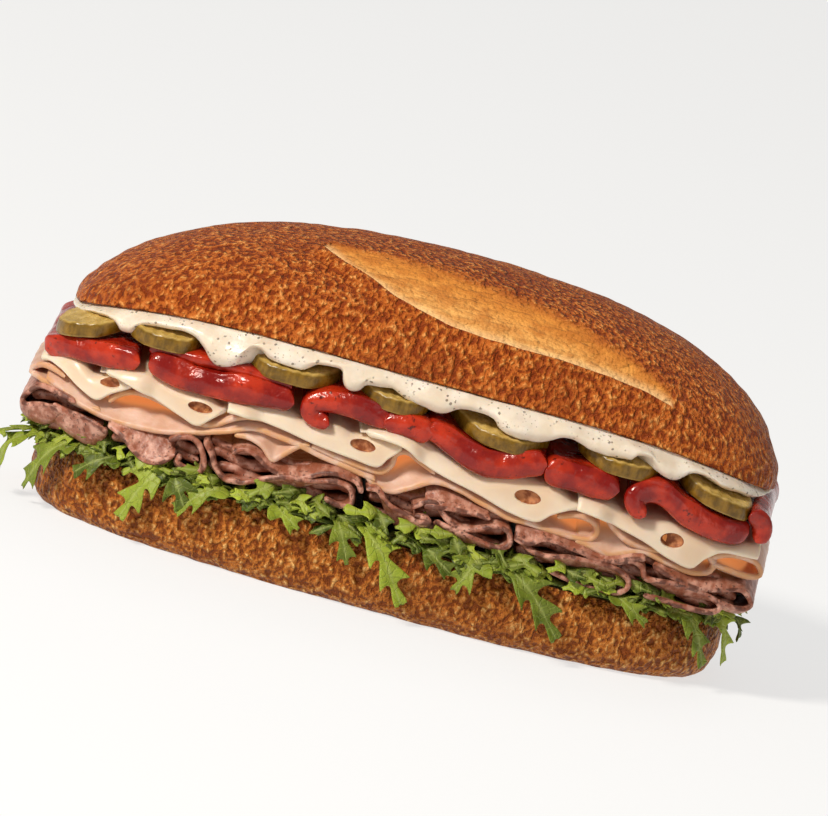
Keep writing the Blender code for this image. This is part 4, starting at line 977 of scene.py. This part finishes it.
# painted shade: the further the beef lies behind its front hem, the darker it is painted
deep = beef.between(beef.shade("inside"), 1.8, 7.0)
meat = beef.mix(deep, meat, (0.17, 0.04, 0.014))
edge = beef.shade("edge")
crust_edge = (1.0 - beef.between(edge, 0.25, 1.0)) * beef.between(beef.grain(3.0, 3.0), 0.46, 0.60)
peppered = beef.between(beef.grain(1.0, 3.0), 0.60, 0.67) * (1.0 - beef.between(edge, 1.0, 4.0))
meat = beef.mix(crust_edge * 0.85, meat, (0.09, 0.024, 0.012))
beef.feed("Base Color", beef.mix(peppered * 0.8, meat, (0.05, 0.016, 0.01)))
beef.feed("Roughness", 0.28 + 0.24 * beef.grain(2.0, 3.0))
beef.bump(beef.grain(1.1, 4.0, beef.stretched(1.0, 2.2, 1.0)) + fibre * 0.4, 0.3)
for number, (name, (knots, reach)) in enumerate(BEEF_FOLDS.items()):
    piece = ruffled_slice(f"slice_of_{name}", knots, reach, number)
    piece.data.materials.append(beef.material)
    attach(piece, "root")
    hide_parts(name)


# Salad: a heap of young, deeply lobed green leaves with pale midribs, laid loose on the cut face
# of the lower half. Long leaves hang out over the crust, and short ones fill the gap all round.
HEAP_FLOOR = 21.15
HEAP_TOP = 22.7
LEAF_THICKNESS = 0.45
LEAF_COLUMNS = (-1.0, -0.93, -0.72, -0.45, -0.18, 0.0, 0.18, 0.45, 0.72, 0.93, 1.0)
SHORT_LEAF_COLUMNS = (-1.0, -0.85, -0.45, 0.0, 0.45, 0.85, 1.0)
SHORT_LEAVES = 250
SHORT_LEAF_ROWS = 24

# A long leaf is given as its place along the roll, its side (-1 is the front), how far its tip
# lies along the rim, out from it and down from it, and its width.
LEAF_SHAPES = [
    (-98.6, -1, 4, 12, 2, 7), (-97, -1, -3, 11, 12, 8), (-90, -1, -9, 5, 15, 9), (-78, -1, -8, 4.5, 6, 8),
    (-64, -1, -7, 4, 14, 8), (-59, -1, 5, 4.5, 6, 9), (-48, -1, -9, 4, 8, 8), (-30, -1, 7, 4.5, 3, 8),
    (-13, -1, 5, 4.5, 9, 7), (-5, -1, 14, 4, 16, 9), (12, -1, 8, 4.5, 4, 8), (26, -1, -4, 4, 8, 9),
    (36, -1, 16, 5, 14, 10), (66, -1, 8, 4.5, 4, 7), (84, -1, 9, 4, 13, 8), (93, -1, 5, 4, 12, 7),
    (96.4, -1, 1, 5, 5, 7), (-80, 1, 8, 4, 10, 8), (-46, 1, -9, 4, 8, 9), (-10, 1, 9, 4, 11, 9),
    (30, 1, -8, 4, 7, 8), (68, 1, 9, 4, 12, 9),
]


def rim_place(x, side):
    """A point of the lower half's rim, and the way out from it, seen from above."""
    across = (x - LOWER_CENTRE_X) / LOWER_HALF_LENGTH
    y = side * ROLL_HALF_WIDTH * float(superellipse(across, ROLL_PLAN_POWER))
    slope = Vector((math.copysign(abs(across) ** 1.6, across) / LOWER_HALF_LENGTH,
                    side * abs(y / ROLL_HALF_WIDTH) ** 1.6 / ROLL_HALF_WIDTH, 0.0))
    return Vector((x, y, 0.0)), slope.normalized()


def lobed_leaf(knots, width, lobes, outward, rows=46, across=LEAF_COLUMNS, dark=1.0):
    """Points, faces and shades of one leaf along its midrib."""
    spine = smooth_line(knots, 0.4)
    length = np.concatenate([[0.0], np.cumsum(np.linalg.norm(np.diff(spine, axis=0), axis=1))])
    share = np.linspace(0.0, 1.0, rows)
    across = np.array(across)
    spine = np.stack([np.interp(share * length[-1], length, column) for column in spine.T], -1)
    run = np.gradient(spine, axis=0)
    run /= np.linalg.norm(run, axis=1)[:, None]
    facing = np.array([0.0, 0.0, 1.0]) + np.array(outward) * 1.2
    facing = facing - (run @ facing)[:, None] * run
    facing /= np.linalg.norm(facing, axis=1)[:, None]
    aside = np.cross(run, facing)
    body = np.sin(np.pi * np.clip(0.10 + 0.88 * share, 0, 1)) ** 0.75
    phase = lobes * share + luck.random()
    lobe = np.abs(2.0 * (phase - np.floor(phase)) - 1.0)
    half_width = 0.5 * width * body * (0.20 + 0.80 * lobe ** 1.5) + 0.35
    sweep = 0.75 * half_width * lobe
    twist = luck.uniform(-0.5, 0.5)
    curl = 0.16 * np.sin(2.2 * math.pi * lobes * share + luck.random() * 6.0)
    reach = np.abs(across)[None, :]
    point = spine[:, None] + aside[:, None] * (half_width[:, None] * across[None, :])[..., None]
    point = point + run[:, None] * (sweep[:, None] * reach ** 1.5)[..., None]
    lift = half_width[:, None] * (curl[:, None] * reach ** 2 + 0.16 * reach + twist * 0.25 * across[None, :])
    point = point + facing[:, None] * lift[..., None]
    half = 0.5 * LEAF_THICKNESS * np.minimum(1.0, 0.25 + 4.0 * (1.0 - reach)) * np.ones((rows, 1))
    half = half + 0.28 * np.exp(-(across[None, :] / 0.14) ** 2) * (1.0 - 0.75 * share[:, None])
    half[:, 0] = half[:, -1] = 0.0
    half[0] = half[-1] = 0.0
    points, faces = slab(point, half)
    shades = {
        "rib": both_sides(np.exp(-((across[None, :] / 0.13) ** 2)) * np.ones((rows, 1))),
        "tone": np.full(len(points), luck.random() ** dark),
    }
    return points, faces, shades


luck = random.Random(11)
leaves = []
for x, side, along_rim, out, hang, width in LEAF_SHAPES:
    rim, outward = rim_place(x, side)
    aside = Vector((0, 0, 1)).cross(outward)
    if aside.x < 0:
        aside = -aside
    start = rim + Vector((0, 0, 0.5 * (HEAP_FLOOR + HEAP_TOP) - float(end_sag(x))))
    knots = [
        start - 9.0 * outward,
        start - 3.6 * outward + Vector((0, 0, 0.6)),
        start + 2.0 * outward + Vector((0, 0, 0.9)),
        start + 0.45 * along_rim * aside + 0.95 * out * outward - Vector((0, 0, 0.3 * hang)),
        start + along_rim * aside + (out - 0.4) * outward - Vector((0, 0, hang)),
    ]
    leaves.append(lobed_leaf([tuple(k) for k in knots], 1.35 * width, 4.2, outward))
for index in range(SHORT_LEAVES):
    turn = index / SHORT_LEAVES + luck.uniform(-0.003, 0.003)
    k = int(turn * (DRESSING_RIM_POINTS - 1)) % DRESSING_RIM_POINTS
    x = LOWER_CENTRE_X + rim_x[k] * (LOWER_HALF_LENGTH - 1.0) / UPPER_HALF_LENGTH
    rim, outward = rim_place(float(x), 1.0 if rim_y[k] > 0 else -1.0)
    aside = Vector((0, 0, 1)).cross(outward) * luck.choice((-1.0, 1.0))
    start = rim + Vector((0, 0, HEAP_TOP - 0.2 - float(end_sag(x))))
    slant = luck.uniform(3.5, 10.5)
    rise = luck.uniform(-0.5, 5.4)
    fall = luck.uniform(0.0, 4.6)
    knots = [
        start - 6.0 * outward + Vector((0, 0, 0.5)),
        start - 1.5 * outward + 0.3 * slant * aside + Vector((0, 0, rise)),
        start + 1.4 * outward + 0.7 * slant * aside + Vector((0, 0, rise - 0.3 * fall)),
        start + luck.uniform(2.0, 3.4) * outward + 1.2 * slant * aside + Vector((0, 0, rise - fall)),
    ]
    width = luck.uniform(4.0, 7.4)
    knots = [tuple(k) for k in knots]
    leaves.append(lobed_leaf(knots, width, 2.6, outward, SHORT_LEAF_ROWS, SHORT_LEAF_COLUMNS, 2.2))
heap_x, heap_y = even_outline(LOWER_HALF_LENGTH + 0.4, ROLL_HALF_WIDTH + 0.4, ROLL_PLAN_POWER, 240)
rings = []
for reach, z in ((0.0, HEAP_TOP), (0.5, HEAP_TOP), (0.85, HEAP_TOP), (0.97, HEAP_TOP), (1.0, 21.9),
                 (0.97, HEAP_FLOOR), (0.5, HEAP_FLOOR), (0.0, HEAP_FLOOR)):
    x, y = LOWER_CENTRE_X + heap_x * reach, heap_y * reach
    rings.append(np.stack([x, y, z - end_sag(x)], -1))
points, faces = stacked_rings(rings)
bumpy = 0.5 * unevenness(points, 6.0, 8)
points[:, 2] += np.where(bumpy > 0, bumpy, 0.0)
# the heap under the leaves gets tone 0, the darkest green: painted shade deep among the leaves
blank = np.zeros(len(points))
leaves.append((points, faces, {"rib": blank, "tone": blank}))
salad = new_piece("salad_leaves", *joined(leaves))
leaf = Finish(
    "salad leaf", Roughness=0.45, Specular_IOR_Level=0.25,
    Subsurface_Weight=0.15, Subsurface_Scale=0.002, Subsurface_Radius=(0.5, 1.0, 0.2),
)
# tone differs at random from leaf to leaf, and its dark end, a near-black green, is painted shade. The short
# leaves, which fill the shaded gap under the meat, lean to that end through dark.
tone = leaf.shade("tone")
green = leaf.mix(tone, (0.050, 0.070, 0.005), (0.39, 0.46, 0.04))
green = leaf.mix(leaf.between(leaf.grain(3.5, 4.0), 0.45, 0.75) * 0.4, green, (0.36, 0.41, 0.045))
from_vein = leaf.cells(2.6, leaf.warped(leaf.place, 3.0, 1.5), "DISTANCE_TO_EDGE")
vein = 1.0 - leaf.between(from_vein, 0.0, 0.10)
green = leaf.mix(vein * 0.25, green, (0.30, 0.34, 0.06))
leaf.feed("Base Color", leaf.mix(leaf.shade("rib") * 0.6, green, (0.38, 0.42, 0.12)))
leaf.bump(leaf.grain(1.5, 4.0) - vein * 0.5, 0.3)
salad.data.materials.append(leaf.material)
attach(salad, "root")
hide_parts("salad")


# The studio: a wide, flat, pale floor that glows a little, soft light from the upper left front,
# and a long lens at the photograph's angle, tilted so that the roll's right end is lower.
VIEW_ELEVATION = math.radians(12.0)
VIEW_ROLL = math.radians(15.4)
VIEW_DISTANCE = 3.0
VIEW_CENTRE = Vector((-1.7, -44.0, 59.44)) * MM
FRAME_WIDTH = 0.2256
FLOOR_HALF_SIZE = 9000.0
FLOOR_POINTS = 7
marks = np.linspace(-FLOOR_HALF_SIZE, FLOOR_HALF_SIZE, FLOOR_POINTS)
points = [(x, y, 0.0) for y in marks for x in marks]
corners = [FLOOR_POINTS * j + i for j in range(FLOOR_POINTS - 1) for i in range(FLOOR_POINTS - 1)]
faces = [(k, k + 1, k + 1 + FLOOR_POINTS, k + FLOOR_POINTS) for k in corners]
floor = new_piece("studio_floor", points, faces)
paper = Finish("studio floor", Roughness=0.9, Emission_Strength=0.66, Emission_Color=(1.0, 0.995, 0.985, 1.0))
paper.feed("Base Color", paper.mix(paper.grain(400.0, 1.0), (0.29, 0.288, 0.283), (0.30, 0.298, 0.293)))
floor.data.materials.append(paper.material)


def soft_light(name, place, aim, size, power, colour):
    lamp = bpy.data.lights.new(name, "AREA")
    lamp.shape = "DISK"
    lamp.size = size
    lamp.energy = power
    lamp.color = colour
    stand = bpy.data.objects.new(name, lamp)
    stand.location = place
    stand.rotation_euler = (Vector(aim) - Vector(place)).to_track_quat("-Z", "Y").to_euler()
    bpy.context.scene.collection.objects.link(stand)


soft_light("key", (-1.0, -1.0, 1.2), (0.0, 0.0, 0.05), 0.34, 32.0, (1.0, 0.96, 0.90))
soft_light("fill", (0.9, -1.2, 0.45), (0.0, 0.0, 0.04), 0.9, 2.2, (1.0, 0.97, 0.93))
soft_light("back", (0.3, 0.8, 1.3), (0.0, 0.0, 0.06), 0.7, 1.6, (1.0, 1.0, 1.0))
world = bpy.data.worlds.new("studio")
world.use_nodes = True
world.node_tree.nodes["Background"].inputs["Color"].default_value = (0.95, 0.95, 0.94, 1.0)
world.node_tree.nodes["Background"].inputs["Strength"].default_value = 0.30
bpy.context.scene.world = world
bpy.context.scene.view_settings.view_transform = "Standard"
lens = bpy.data.cameras.new("camera")
lens.lens = lens.sensor_width * VIEW_DISTANCE / FRAME_WIDTH
lens.clip_end = 20.0
camera = bpy.data.objects.new("camera", lens)
toward = Vector((0.0, math.cos(VIEW_ELEVATION), -math.sin(VIEW_ELEVATION)))
level = toward.to_track_quat("-Z", "Y").to_matrix().to_4x4()
camera.matrix_world = (
    Matrix.Translation(VIEW_CENTRE - toward * VIEW_DISTANCE) @ level @ Matrix.Rotation(VIEW_ROLL, 4, "Z")
)
bpy.context.scene.collection.objects.link(camera)
bpy.context.scene.camera = camera
